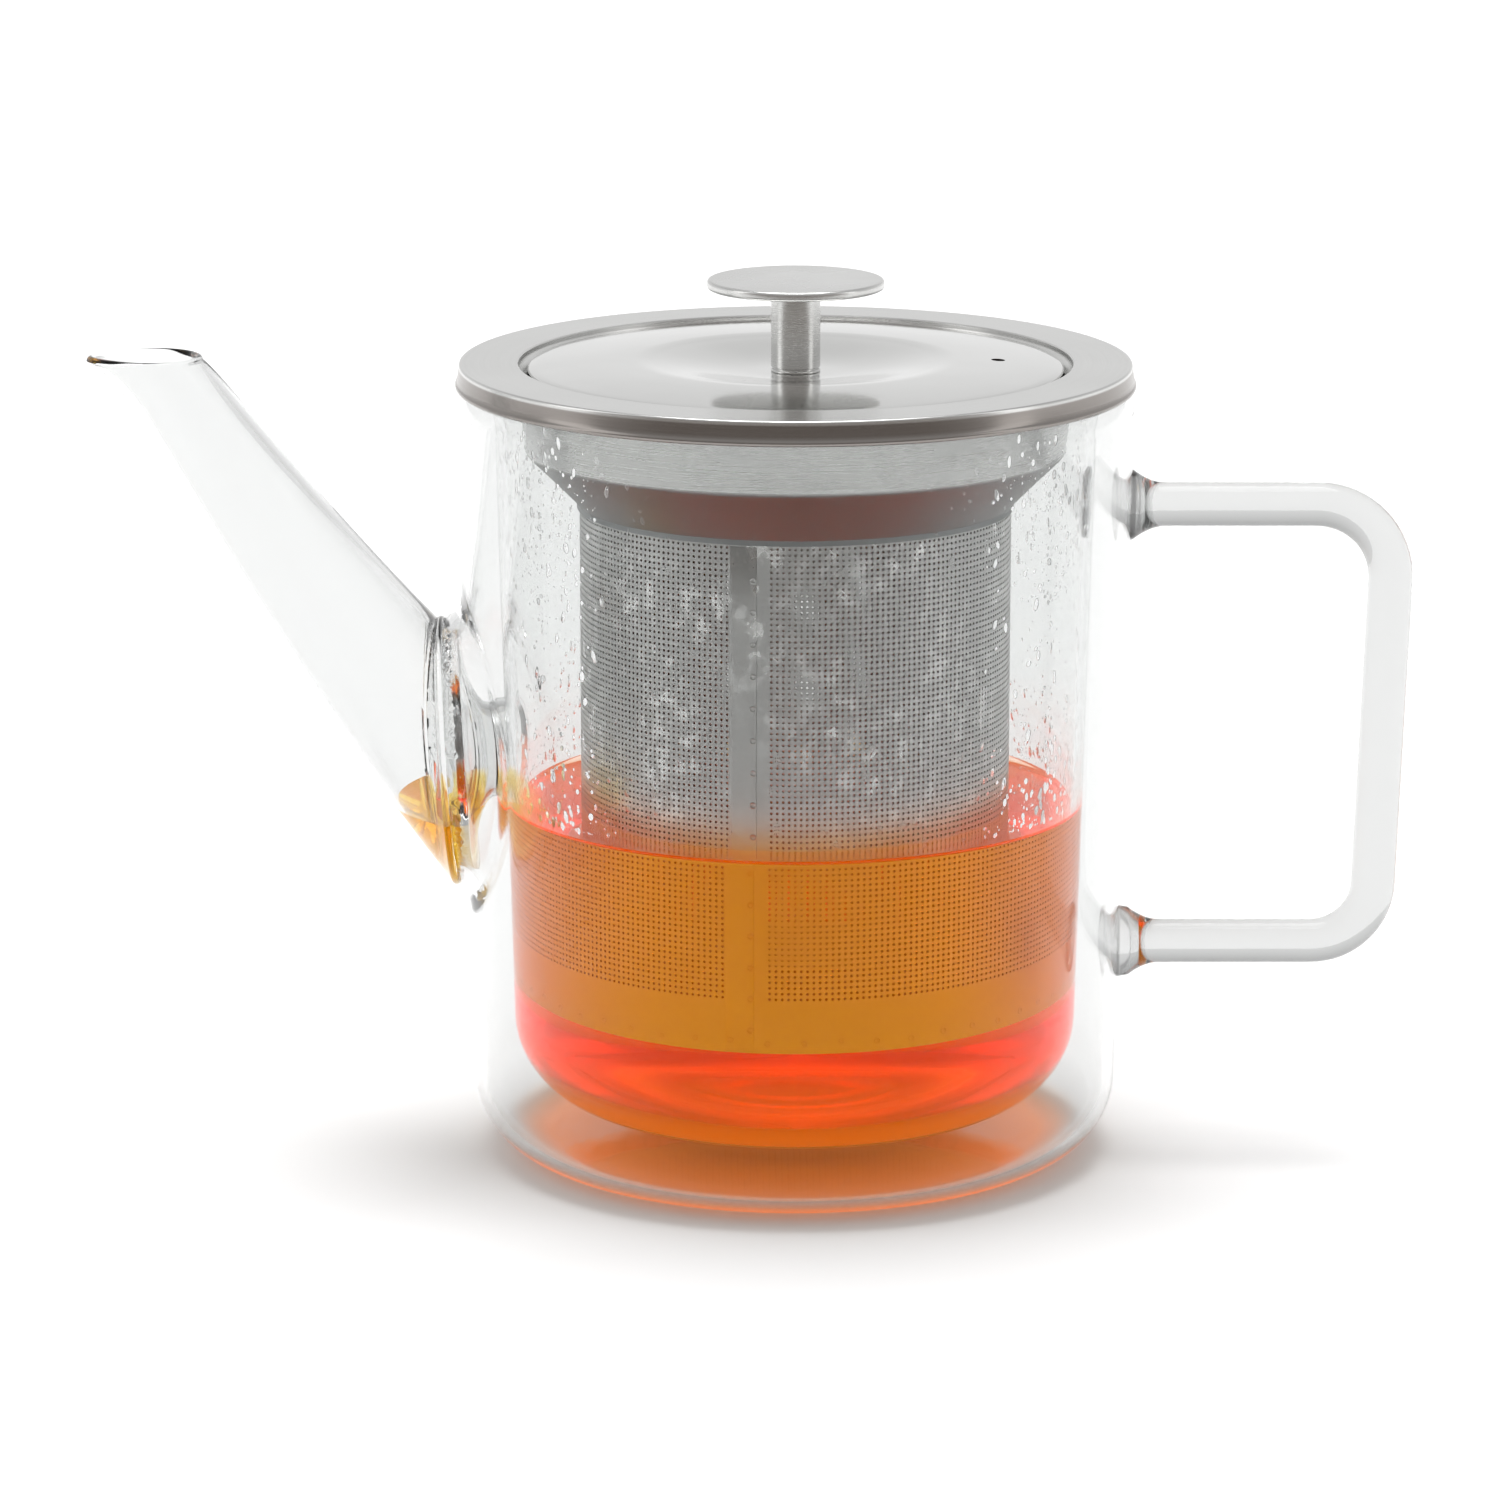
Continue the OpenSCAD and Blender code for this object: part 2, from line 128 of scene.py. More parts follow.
def turn(name, outline, closed=True, steps=144, angle=360):
    # traces the outline in the XZ plane and spins it about Z
    clearSelection()
    bpy.ops.mesh.primitive_plane_add(size=mm)
    piece = bpy.context.object
    piece.name = name
    bpy.ops.object.mode_set(mode="EDIT")
    bpy.ops.mesh.merge(type="CENTER")
    bpy.ops.transform.translate(value=(outline[0][0] * mm, 0, outline[0][1] * mm))
    for (ra, za), (rb, zb) in zip(outline, outline[1:]):
        move = ((rb - ra) * mm, 0, (zb - za) * mm)
        bpy.ops.mesh.extrude_region_move(TRANSFORM_OT_translate={"value": move})
    if closed:
        bpy.ops.mesh.select_all(action="DESELECT")
        bpy.ops.object.mode_set(mode="OBJECT")
        piece.data.vertices[0].select = True
        piece.data.vertices[-1].select = True
        bpy.ops.object.mode_set(mode="EDIT")
        bpy.ops.mesh.edge_face_add()
    bpy.ops.mesh.select_all(action="SELECT")
    bpy.ops.mesh.spin(steps=steps, angle=math.radians(angle), center=(0, 0, 0), axis=(0, 0, 1))
    weldAndFaceOut(piece)
    return piece


def wrapSheet(name, across, along, place):
    # a flat grid whose columns and rows are carried to place(column, row), which answers in millimetres
    clearSelection()
    bpy.ops.mesh.primitive_grid_add(x_subdivisions=across, y_subdivisions=along, size=2)
    piece = bpy.context.object
    piece.name = name
    for v in piece.data.vertices:
        column = (v.co.x + 1) / 2 * across
        row = (v.co.y + 1) / 2 * along
        v.co = Vector(place(round(column), round(row))) * mm
    weldAndFaceOut(piece)
    return piece


def putAtSpoutRing(piece):
    pick(piece)
    piece.rotation_euler = (0, math.radians(-90 - spout["tilt"]), 0)
    piece.location = (spout["ringX"] * mm, 0, spout["ringZ"] * mm)
    bpy.ops.object.transform_apply(location=True, rotation=True, scale=True)


def cutWith(piece, tool, operation="DIFFERENCE"):
    pick(piece)
    modifier = piece.modifiers.new("cut", "BOOLEAN")
    modifier.object = tool
    modifier.operation = operation
    modifier.solver = "EXACT"
    bpy.ops.object.modifier_apply(modifier=modifier.name)
    bpy.data.objects.remove(tool)


def rod(name, radius, low, high, sides=96):
    # cutter only: an upright cylinder between two heights
    clearSelection()
    bpy.ops.mesh.primitive_cylinder_add(
        vertices=sides, radius=radius * mm, depth=(high - low) * mm, location=(0, 0, (low + high) / 2 * mm))
    piece = bpy.context.object
    piece.name = name
    bpy.ops.object.transform_apply(location=True, rotation=True, scale=True)
    return piece


def joinPieces(name, pieces):
    clearSelection()
    for piece in pieces:
        piece.select_set(True)
    bpy.context.view_layer.objects.active = pieces[0]
    bpy.ops.object.join()
    pieces[0].name = name
    return pieces[0]


def dress(piece, material, body, slot, *nodes):
    piece.data.materials.clear()
    piece.data.materials.append(material)
    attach(piece, body)
    if nodes:
        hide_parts(*nodes)


class Sock:
    # wraps a shader socket so that patterns can be written as sums
    def __init__(self, tree, socket):
        self.tree = tree
        self.socket = socket

    def node(self, kind, inputs=None, output=0, **settings):
        made = self.tree.nodes.new(kind)
        for key, value in settings.items():
            setattr(made, key, value)
        for key, value in (inputs or {}).items():
            if isinstance(value, Sock):
                self.tree.links.new(value.socket, made.inputs[key])
            else:
                made.inputs[key].default_value = value
        return Sock(self.tree, made.outputs[output])

    def math(self, operation, other=0.0):
        return self.node("ShaderNodeMath", {0: self, 1: other}, operation=operation)

    def __add__(self, other):
        return self.math("ADD", other)

    def __sub__(self, other):
        return self.math("SUBTRACT", other)

    def __mul__(self, other):
        return self.math("MULTIPLY", other)

    def __radd__(self, other):
        return self + other

    def __rsub__(self, other):
        return self.node("ShaderNodeMath", {0: other, 1: self}, operation="SUBTRACT")

    def __rmul__(self, other):
        return self * other

    def part(self, index):
        return self.node("ShaderNodeSeparateXYZ", {0: self}, output=index)

    def fit(self, low, high, toLow=0.0, toHigh=1.0):
        return self.node("ShaderNodeMapRange", {0: self, 1: low, 2: high, 3: toLow, 4: toHigh})

    def blend(self, dark, light):
        # colour between dark and light, by this socket
        return self.node(
            "ShaderNodeMix", {0: self, 6: (*dark, 1), 7: (*light, 1)}, output=2, data_type="RGBA")


def newMaterial(name):
    material = bpy.data.materials.new(name)
    material.use_nodes = True
    tree = material.node_tree
    shader = tree.nodes["Principled BSDF"]
    place = Sock(tree, tree.nodes.new("ShaderNodeTexCoord").outputs["Object"])
    return material, tree, shader, place


def connect(tree, sock, target):
    tree.links.new(sock.socket, target)


def noise(place, scale, detail=2.0, roughness=0.5, stretch=(1, 1, 1)):
    stretched = place.node("ShaderNodeMapping", {"Vector": place, "Scale": stretch})
    settings = {"Vector": stretched, "Scale": scale, "Detail": detail, "Roughness": roughness}
    return place.node("ShaderNodeTexNoise", settings)


def bump(height, strength, distance):
    return height.node("ShaderNodeBump", {"Height": height, "Strength": strength, "Distance": distance})


def radiusOf(place):
    x = place.part(0)
    y = place.part(1)
    return (x * x + y * y).math("SQRT")


# the grey glass colours below are painted shade, greyest for the handle rod
glass = {
    "ior": 1.473, "mirror": (0.10, 0.10, 0.10), "clearShadeTint": (0.925, 0.93, 0.928),
    "outerShadeTint": (0.855, 0.86, 0.858), "rodShadeTint": (0.66, 0.665, 0.662),
    # painted light: the orange colours and glow that the tea throws on the pot's base
    "paintedLightMiddle": (0.71, 0.36, 0.14), "paintedLightEdge": (0.90, 0.66, 0.36), "amberLight": (0.15, 0.026, 0.0),
}
waterIor = 1.333


def makeGlass(name, shadeTint):
    material, tree, shader, place = newMaterial(name)
    # the grey base colour darkens everything seen through the glass: painted shade, stronger on the handle
    # rod than on the walls
    shader.inputs["Base Color"].default_value = (*shadeTint, 1)
    shader.inputs["Roughness"].default_value = 0.0
    shader.inputs["IOR"].default_value = glass["ior"]
    shader.inputs["Specular Tint"].default_value = (*glass["mirror"], 1)
    shader.inputs["Transmission Weight"].default_value = 1.0
    waves = noise(place, 28, detail=1, stretch=(1, 1, 0.45))
    connect(tree, bump(waves, 0.10, 0.0006), shader.inputs["Normal"])
    return material


def makeBaseGlow(material, shadeTint):
    # the tea throws its light down on the pot's base, and it is painted there as painted light: an orange
    # glass colour and a glow, inside a soft-edged circle
    tree = material.node_tree
    shader = tree.nodes["Principled BSDF"]
    place = Sock(tree, tree.nodes["Texture Coordinate"].outputs["Object"])
    ring = radiusOf(place)
    onBase = place.part(2).fit(0.0045, 0.0025)
    inside = ring.fit(0.054, 0.044) * onBase
    outwards = ring.fit(0.020, 0.045)
    paintedLight = outwards.blend(glass["paintedLightMiddle"], glass["paintedLightEdge"])
    base = inside.node("ShaderNodeMix", {0: inside, 6: (*shadeTint, 1), 7: paintedLight}, output=2, data_type="RGBA")
    connect(tree, base, shader.inputs["Base Color"])
    strength = (outwards * 0.6 + 0.4) * inside
    connect(tree, strength.blend((0, 0, 0), glass["amberLight"]), shader.inputs["Emission Color"])
    shader.inputs["Emission Strength"].default_value = 1.0


brew = {
    "colour": (0.997, 0.86, 0.0), "potDensity": 220, "spoutDensity": 200, "glow": (0.15, 0.026, 0.0),
    "floorGlow": (0.06, 0.105, 0.0), "spoutGlow": (0.10, 0.06, 0.0),
}


def makeTea(name, density, glow, floorGlow):
    material, tree, shader, place = newMaterial(name)
    shader.inputs["Base Color"].default_value = (1, 1, 1, 1)
    shader.inputs["Roughness"].default_value = 0.0
    shader.inputs["IOR"].default_value = waterIor
    shader.inputs["Specular Tint"].default_value = (*glass["mirror"], 1)
    shader.inputs["Transmission Weight"].default_value = 1.0
    ripples = noise(place, 60, detail=1)
    connect(tree, bump(ripples, 0.06, 0.0003), shader.inputs["Normal"])
    # a faint glow stands for the light that a brew scatters, yellower towards the vessel's floor
    low = place.part(2).fit(0.024, 0.011)
    connect(tree, low.blend(glow, floorGlow), shader.inputs["Emission Color"])
    shader.inputs["Emission Strength"].default_value = 1.0
    absorb = tree.nodes.new("ShaderNodeVolumeAbsorption")
    absorb.inputs["Color"].default_value = (*brew["colour"], 1)
    absorb.inputs["Density"].default_value = density
    tree.links.new(absorb.outputs[0], tree.nodes["Material Output"].inputs["Volume"])
    return material


def makeWater():
    material, tree, shader, place = newMaterial("condensation")
    shader.inputs["Base Color"].default_value = (1, 1, 1, 1)
    shader.inputs["Roughness"].default_value = 0.0
    shader.inputs["IOR"].default_value = waterIor
    shader.inputs["Transmission Weight"].default_value = 1.0
    wobble = noise(place, 900, detail=1)
    connect(tree, bump(wobble, 0.15, 0.0001), shader.inputs["Normal"])
    return material


# some steel colours here are painted: the cone under the collar and the flange's lip get painted shade, the
# steel under the tea gets painted light
steel = {
    "satinDark": (0.58, 0.58, 0.57), "satinLight": (0.67, 0.67, 0.66), "taperShade": (0.38, 0.39, 0.39),
    "lidDark": (0.64, 0.64, 0.63), "lidLight": (0.71, 0.71, 0.70), "lidRoughness": 0.03,
    "flangeDark": (0.57, 0.57, 0.56), "flangeLight": (0.63, 0.63, 0.62), "flangeRoughness": 0.15,
    "lip": (0.27, 0.25, 0.235), "dryDark": (0.56, 0.56, 0.55), "dryLight": (0.75, 0.75, 0.74),
    "underTeaLitDark": (0.80, 0.76, 0.72), "underTeaLitLight": (0.88, 0.83, 0.79),
    "screwDark": (0.40, 0.40, 0.40), "screwLight": (0.55, 0.55, 0.54),
}


def makeSatinSteel(name, low, high, taperShade):
    material, tree, shader, place = newMaterial(name)
    shader.inputs["Metallic"].default_value = 1.0
    # grinding lines that run round the piece, and faint clouds
    lines = noise(place, 1.0, detail=3, stretch=(60, 60, 5200))
    clouds = noise(place, 55, detail=3)
    sheen = clouds.fit(0.3, 0.7).blend(low, high)
    rough = lines * 0.10 + clouds * 0.10 + 0.17
    if taperShade:
        # the cone under the collar is rougher, and its colour is darker: painted shade
        dullShadedTaper = place.part(2).fit(0.1268, 0.1262)
        sheen = dullShadedTaper.node("ShaderNodeMix", {0: dullShadedTaper, 6: sheen, 7: (*taperShade, 1)}, output=2, data_type="RGBA")
        rough = rough + dullShadedTaper * 0.20
    connect(tree, sheen, shader.inputs["Base Color"])
    connect(tree, rough, shader.inputs["Roughness"])
    connect(tree, bump(lines, 0.10, 0.00006), shader.inputs["Normal"])
    return material


def makePolishedSteel(name, dark, light, roughness, lip):
    material, tree, shader, place = newMaterial(name)
    shader.inputs["Metallic"].default_value = 1.0
    # fine lathe rings by the distance from the axis, broken up a little
    ring = radiusOf(place)
    height = place.part(2)
    key = place.node("ShaderNodeCombineXYZ", {0: ring * 2600, 1: height * 2600, 2: 0.0})
    rings = place.node("ShaderNodeTexNoise", {"Vector": key, "Scale": 1.0, "Detail": 2.0})
    clouds = noise(place, 40, detail=3)
    sheen = clouds.fit(0.3, 0.7).blend(dark, light)
    if lip:
        # the turned-down lip is painted darker: painted shade
        shadedLip = height.fit(0.1403, 0.1400)
        sheen = shadedLip.node("ShaderNodeMix", {0: shadedLip, 6: sheen, 7: (*lip, 1)}, output=2, data_type="RGBA")
    connect(tree, sheen, shader.inputs["Base Color"])
    connect(tree, (rings * 0.08 + clouds * 0.06) + roughness, shader.inputs["Roughness"])
    connect(tree, bump(rings, 0.06, 0.00004), shader.inputs["Normal"])
    return material


def makePerforatedSteel():
    material, tree, shader, place = newMaterial("perforatedSteel")
    shader.inputs["Metallic"].default_value = 1.0
    grain = noise(place, 900, detail=4, roughness=0.7)
    # beads and films of water cling above the tea, and none below it
    aboveTeaMask = place.part(2).fit(0.062, 0.072)
    beads = noise(place, 420, detail=3, roughness=0.6, stretch=(1, 1, 0.8))
    film = noise(place, 60, detail=4, roughness=0.6, stretch=(1, 1, 0.6))
    wet = beads.fit(0.50, 0.62) * film.fit(0.40, 0.58) * aboveTeaMask
    shade = grain * 0.35 + wet * 0.65
    above = shade.blend(steel["dryDark"], steel["dryLight"])
    # under the tea the steel is painted brighter and warmer: painted light from the lit tea around it
    under = shade.blend(steel["underTeaLitDark"], steel["underTeaLitLight"])
    sheen = aboveTeaMask.node("ShaderNodeMix", {0: aboveTeaMask, 6: under, 7: above}, output=2, data_type="RGBA")
    connect(tree, sheen, shader.inputs["Base Color"])
    connect(tree, wet.fit(0, 1, 0.42, 0.24), shader.inputs["Roughness"])
    connect(tree, bump(grain * 0.25 + beads * aboveTeaMask * 1.5, 0.22, 0.00012), shader.inputs["Normal"])
    return material


def makeScrewSteel():
    material, tree, shader, place = newMaterial("screwSteel")
    shader.inputs["Metallic"].default_value = 1.0
    grain = noise(place, 700, detail=3, roughness=0.6)
    connect(tree, grain.blend(steel["screwDark"], steel["screwLight"]), shader.inputs["Base Color"])
    connect(tree, grain * 0.2 + 0.25, shader.inputs["Roughness"])
    connect(tree, bump(grain, 0.12, 0.00004), shader.inputs["Normal"])
    return material


def makeOuterGlass(material):
    corner = pot["baseCorner"]
    wall = pot["wall"]
    top = pot["height"]
    shoulder = pot["shoulder"]
    outline = line((0, 0), (pot["baseRadius"] - corner, 0), 3)
    outline += arc(pot["baseRadius"] - corner, corner, corner, -90, 0, 16)[:-1]
    outline += line((pot["baseRadius"], corner), (pot["topRadius"], top - shoulder), 1.7)
    shoulderX = pot["topRadius"] - shoulder
    outline += arc(shoulderX, top - shoulder, shoulder, 0, pot["shoulderEnd"], 12)
    outline += [(vessel["topRadius"] - 0.1, top), (vessel["topRadius"] - 0.1, top - wall)]
    outline += arc(shoulderX, top - shoulder, shoulder - wall, pot["shoulderEnd"], 0, 10)[:-1]
    outline += line((pot["topRadius"] - wall, top - shoulder), (pot["baseRadius"] - wall, corner), 1.7)
    outline += arc(pot["baseRadius"] - corner, corner, corner - wall, 0, -90, 14)[:-1]
    outline += line((pot["baseRadius"] - corner, wall), (0, wall), 3) + [(0, wall)]
    piece = turn("outer_glass", outline, closed=False, steps=pot["steps"])
    refineNearSpout(piece)
    pullOutToSpoutRing(piece)
    bore = rod("bore", spout["ringRadius"] - spout["wall"], -14, 3)
    putAtSpoutRing(bore)
    cutWith(piece, bore)
    smoothShade(piece, 50)
    dress(piece, material, "pot", "clear_glass", "outer_glass_wall")
    return piece


spout = {
    "ringX": -61.1, "ringZ": 71.2, "ringRadius": 23.4, "ringHalf": 0.7, "ringBulge": 0.4, "tilt": 3.6,
    "wall": 1.7, "endThickening": 1.3, "thickeningPower": 14, "mouthZ": 141.8, "mouthReach": 120.6,
    "mouthLength": 17.4, "mouthWidth": 17.2, "lip": 3.0, "lipDecay": 0.03, "lipSpread": 38,
    "filletWidth": 6.5, "filletPower": 2.6, "sides": 80, "rows": 44, "rimRows": 6,
}


def spoutAxes():
    t = math.radians(spout["tilt"])
    return Vector((-math.cos(t), -math.sin(t))), Vector((-math.sin(t), math.cos(t)))


def aroundSpoutAxis(x, y, z):
    # height out of the ring's plane, and distance from the spout's axis
    out, up = spoutAxes()
    d = Vector((x - spout["ringX"], z - spout["ringZ"]))
    return d.dot(out), math.hypot(d.dot(up), y)


def refineNearSpout(piece):
    pick(piece)
    reach = spout["ringRadius"] + spout["filletWidth"] + 2
    for face in piece.data.polygons:
        c = face.center / mm
        face.select = c.x < 0 and aroundSpoutAxis(*c)[1] < reach
    for edge in piece.data.edges:
        edge.select = False
    for v in piece.data.vertices:
        v.select = False
    bpy.ops.object.mode_set(mode="EDIT")
    bpy.ops.mesh.select_mode(type="FACE")
    bpy.ops.mesh.subdivide(number_cuts=1)
    bpy.ops.mesh.select_mode(type="VERT")
    bpy.ops.object.mode_set(mode="OBJECT")


def pullOutToSpoutRing(piece):
    # both faces of the wall rise to the ring's plane inside it, and fall back to the pot over the fillet
    out = spoutAxes()[0]
    radius = spout["ringRadius"]
    width = spout["filletWidth"]
    for v in piece.data.vertices:
        x, y, z = v.co / mm
        if x > 0:
            continue
        height, away = aroundSpoutAxis(x, y, z)
        outside = math.hypot(x, y) > potRadius(z) - pot["wall"] / 2
        edge = radius if outside else radius - spout["wall"]
        fall = min(max(1 - (away - edge) / width, 0), 1) ** spout["filletPower"]
        target = -spout["ringHalf"] + 0.1 if outside else -spout["ringHalf"] - 1.6
        push = max(target - height, 0) * fall
        v.co += Vector((out.x, 0, out.y)) * push * mm


def makeInnerVessel(material):
    corner = vessel["corner"]
    wall = vessel["wall"]
    top = pot["height"]
    shoulderZ = top - pot["shoulder"]
    base = vessel["floor"]
    cx = vessel["baseRadius"] - corner
    rim = vessel["rimRound"]
    outline = line((0, base), (cx, base), 3)
    outline += arc(cx, base + corner, corner, -90, 0, 18)[:-1]
    outline += line((vessel["baseRadius"], base + corner), (vessel["topRadius"], shoulderZ), 3)
    outline += [(vessel["topRadius"], shoulderZ), (vessel["topRadius"], top - vessel["rimDrop"])]
    outline += arc(vessel["topRadius"] - wall + rim, top - rim, rim, 90, 180, 6)
    inside = (vessel["baseRadius"] - wall, base + corner)
    outline += line((vessel["topRadius"] - wall, shoulderZ), inside, 3)
    outline += arc(cx, base + corner, corner - wall, 0, -90, 18)[:-1]
    outline += line((cx, base + wall), (0, base + wall), 3) + [(0, base + wall)]
    piece = turn("inner_glass", outline, closed=False, steps=192)
    bore = rod("bore", neck["portRadius"] + neck["wall"] - 0.1, -24, 0)
    putAtSpoutRing(bore)
    cutWith(piece, bore)
    smoothShade(piece, 50)
    dress(piece, material, "pot", "clear_glass", "inner_glass_vessel")
    return piece


neck = {"portRadius": 7.4, "wall": 1.4, "bellDepth": 8.4, "flare": 6.4, "reach": 16.0}


def bell(rootRadius, endRadius, depth, steps=16):
    # quarter-ellipse flare from the throat out to the fused ring
    start = -spout["ringHalf"] - neck["bellDepth"]
    points = []
    for i in range(steps + 1):
        a = math.radians(90 * i / steps)
        radius = rootRadius + (endRadius - rootRadius) * (1 - math.cos(a))
        points.append((radius, start + depth * math.sin(a)))
    return points


def vesselHollow():
    wall = vessel["wall"]
    corner = vessel["corner"]
    cx = vessel["baseRadius"] - corner
    base = vessel["floor"] + wall
    outline = [(0, base)] + arc(cx, vessel["floor"] + corner, corner - wall, -90, 0, 12)
    outline += [(vessel["topRadius"] - wall, pot["height"] - pot["shoulder"]), (0, pot["height"])]
    return turn("hollow", outline, closed=False, steps=192)


def makeSpoutNeck():
    tube = neck["portRadius"] + neck["wall"]
    boreRadius = spout["ringRadius"] - spout["wall"] + 0.1
    inner = boreRadius - neck["wall"] - 0.1
    outline = [(tube, -neck["reach"])] + bell(tube, boreRadius, neck["flare"] - neck["wall"])
    outline += [(boreRadius, -spout["ringHalf"] + 0.1), (inner, -spout["ringHalf"] + 0.1)]
    outline += bell(neck["portRadius"], inner, neck["flare"])[::-1]
    outline += [(neck["portRadius"], -neck["reach"])]
    piece = turn("spout_throat", outline, steps=128)
    putAtSpoutRing(piece)
    cutWith(piece, vesselHollow())
    return piece


def makeWeldRing():
    half = spout["ringHalf"]
    inner = spout["ringRadius"] - spout["wall"] - neck["wall"]
    outline = [(inner, -half)]
    for i in range(13):
        a = math.radians(180 * i / 12)
        outline.append((spout["ringRadius"] + spout["ringBulge"] * math.sin(a), -half * math.cos(a)))
    outline += [(inner, half)]
    piece = turn("spout_weld", outline, steps=128)
    putAtSpoutRing(piece)
    return piece


def spoutPoint(t, angle, inset):
    # a point of the spout's surface: t runs from the mouth (0) to the fused end (1)
    out, up = spoutAxes()
    end = Vector((spout["ringX"], spout["ringZ"])) + out * (spout["ringHalf"] - 0.1)
    upper = [Vector((spout["mouthLength"] - spout["mouthReach"], spout["mouthZ"])), Vector((-82, 115)),
             end + up * spout["ringRadius"]]
    lower = [Vector((-spout["mouthReach"], spout["mouthZ"])), Vector((-103, 109)), Vector((-84.5, 79)),
             end - up * spout["ringRadius"]]
    high = upper[0].lerp(upper[1], t).lerp(upper[1].lerp(upper[2], t), t)
    ab = lower[0].lerp(lower[1], t)
    bc = lower[1].lerp(lower[2], t)
    cd = lower[2].lerp(lower[3], t)
    low = ab.lerp(bc, t).lerp(bc.lerp(cd, t), t)
    middle = (high + low) / 2
    half = (high - low) / 2
    mouth = spout["mouthWidth"] / 2
    width = mouth + (spout["ringRadius"] - mouth) * t ** 2.4 - inset
    keep = (half.length - inset) / half.length
    p = middle + half * keep * math.cos(angle)
    standOut = spout["lip"] * math.exp(-t / spout["lipDecay"])
    standOut *= math.exp(-((math.degrees(angle) - 180) / spout["lipSpread"]) ** 2)
    return p.x - standOut, width * math.sin(angle), p.y


def spoutWall(t):
    return spout["wall"] + spout["endThickening"] * t ** spout["thickeningPower"]


def makeSpoutTube(material):
    rows = spout["rows"]
    sides = spout["sides"]
    rimRows = spout["rimRows"]
    rimHalf = spout["wall"] / 2
    total = 2 * rows + rimRows + 1

    def place(column, row):
        angle = 2 * math.pi * (column % sides) / sides
        row = row % total
        if row <= rows:
            t = (1 - row / rows) ** 1.5
            x, y, z = spoutPoint(t, angle, 0)
        elif row < rows + rimRows:
            # rounded lip of the mouth
            a = math.pi * (row - rows) / rimRows
            t = 0
            x, y, z = spoutPoint(0, angle, rimHalf * (1 - math.cos(a)))
            z += rimHalf * math.sin(a)
        else:
            t = ((row - rows - rimRows) / rows) ** 1.5
            x, y, z = spoutPoint(t, angle, spoutWall(t))
        return x, y, z - rimHalf * math.exp(-t / 0.05)

    piece = wrapSheet("spout_glass", sides, total, place)
    # flame has melted the throat and the ring into the spout, so no face is left between them
    cutWith(piece, makeWeldRing(), "UNION")
    cutWith(piece, makeSpoutNeck(), "UNION")
    weldAndFaceOut(piece)
    smoothShade(piece, 60)
    dress(piece, material, "pot", "clear_glass", "spout_tube", "spout_neck", "spout_weld_ring")
    return piece


handle = {
    "rod": 7.8, "upperZ": 115.4, "lowerZ": 36.3, "upperReach": 105.0, "lowerReach": 102.3,
    "upperBend": 13.0, "lowerBend": 11.0, "bossRadius": 6.1, "bossFace": 59.2, "bossEnd": 64.2,
    "bossTaper": 1.7, "sides": 40,
}


def makeHandle(material):
    radius = handle["rod"] / 2
    lean = math.atan((handle["upperReach"] - handle["lowerReach"]) / (handle["upperZ"] - handle["lowerZ"]))
    upperBend = handle["upperBend"]
    lowerBend = handle["lowerBend"]
    upperX = handle["upperReach"] - upperBend * math.tan((math.pi / 2 + lean) / 2)
    lowerX = handle["lowerReach"] - lowerBend * math.tan((math.pi / 2 - lean) / 2)
    # a station is its centre's x and z, the direction to the bend's outside, its radius,
    # and whether its ring is bent onto the pot
    stations = []

    def flare(z, side):
        steps = 10
        part = [(handle["bossFace"], z, side, handle["bossRadius"] + 0.3, 1.0)]
        for i in range(steps + 1):
            t = i / steps
            flared = radius + (handle["bossRadius"] - radius) * (1 - t) ** handle["bossTaper"]
            part.append((mix(handle["bossFace"], handle["bossEnd"], t), z, side, flared, 0.0))
        return part

    def straight(a, b, side, steps):
        part = []
        for i in range(1, steps):
            part.append((mix(a[0], b[0], i / steps), mix(a[1], b[1], i / steps), side, radius, 0.0))
        return part

    def elbow(cx, cz, bend, start, end, steps=16):
        part = []
        for i in range(steps + 1):
            a = mix(start, end, i / steps)
            part.append((cx + bend * math.cos(a), cz + bend * math.sin(a), a, radius, 0.0))
        return part

    upperCentre = (upperX, handle["upperZ"] - upperBend)
    lowerCentre = (lowerX, handle["lowerZ"] + lowerBend)
    stations += flare(handle["upperZ"], math.pi / 2)
    stations += straight((handle["bossEnd"], handle["upperZ"]), (upperX, handle["upperZ"]), math.pi / 2, 8)
    stations += elbow(*upperCentre, upperBend, math.pi / 2, -lean)
    gripTop = (upperX + upperBend * math.cos(lean), upperCentre[1] - upperBend * math.sin(lean))
    gripEnd = (lowerX + lowerBend * math.cos(lean), lowerCentre[1] - lowerBend * math.sin(lean))
    stations += straight(gripTop, gripEnd, -lean, 16)
    stations += elbow(*lowerCentre, lowerBend, -lean, -math.pi / 2)
    stations += straight((lowerX, handle["lowerZ"]), (handle["bossEnd"], handle["lowerZ"]), -math.pi / 2, 8)
    stations += flare(handle["lowerZ"], -math.pi / 2)[::-1]

    def place(column, row):
        x, z, side, ringRadius, onPot = stations[row]
        b = 2 * math.pi * (column % handle["sides"]) / handle["sides"]
        out = ringRadius * math.cos(b)
        px = x + out * math.cos(side)
        py = ringRadius * math.sin(b)
        pz = z + out * math.sin(side)
        if onPot:
            px = math.sqrt((potRadius(pz) - 0.12) ** 2 - py ** 2)
        return px, py, pz

    piece = wrapSheet("glass_handle", handle["sides"], len(stations) - 1, place)
    editAll(piece)
    bpy.ops.mesh.select_all(action="DESELECT")
    bpy.ops.mesh.select_non_manifold()
    bpy.ops.mesh.fill_holes(sides=0)
    bpy.ops.mesh.select_all(action="SELECT")
    bpy.ops.mesh.normals_make_consistent(inside=False)
    smoothShade(piece, 60)
    dress(piece, material, "pot", "clear_glass", "handle_rod", "handle_weld_upper", "handle_weld_lower")
    return piece


tea = {"level": 62.6, "meniscus": 1.1, "meniscusDecay": 0.75, "bite": 0.12}


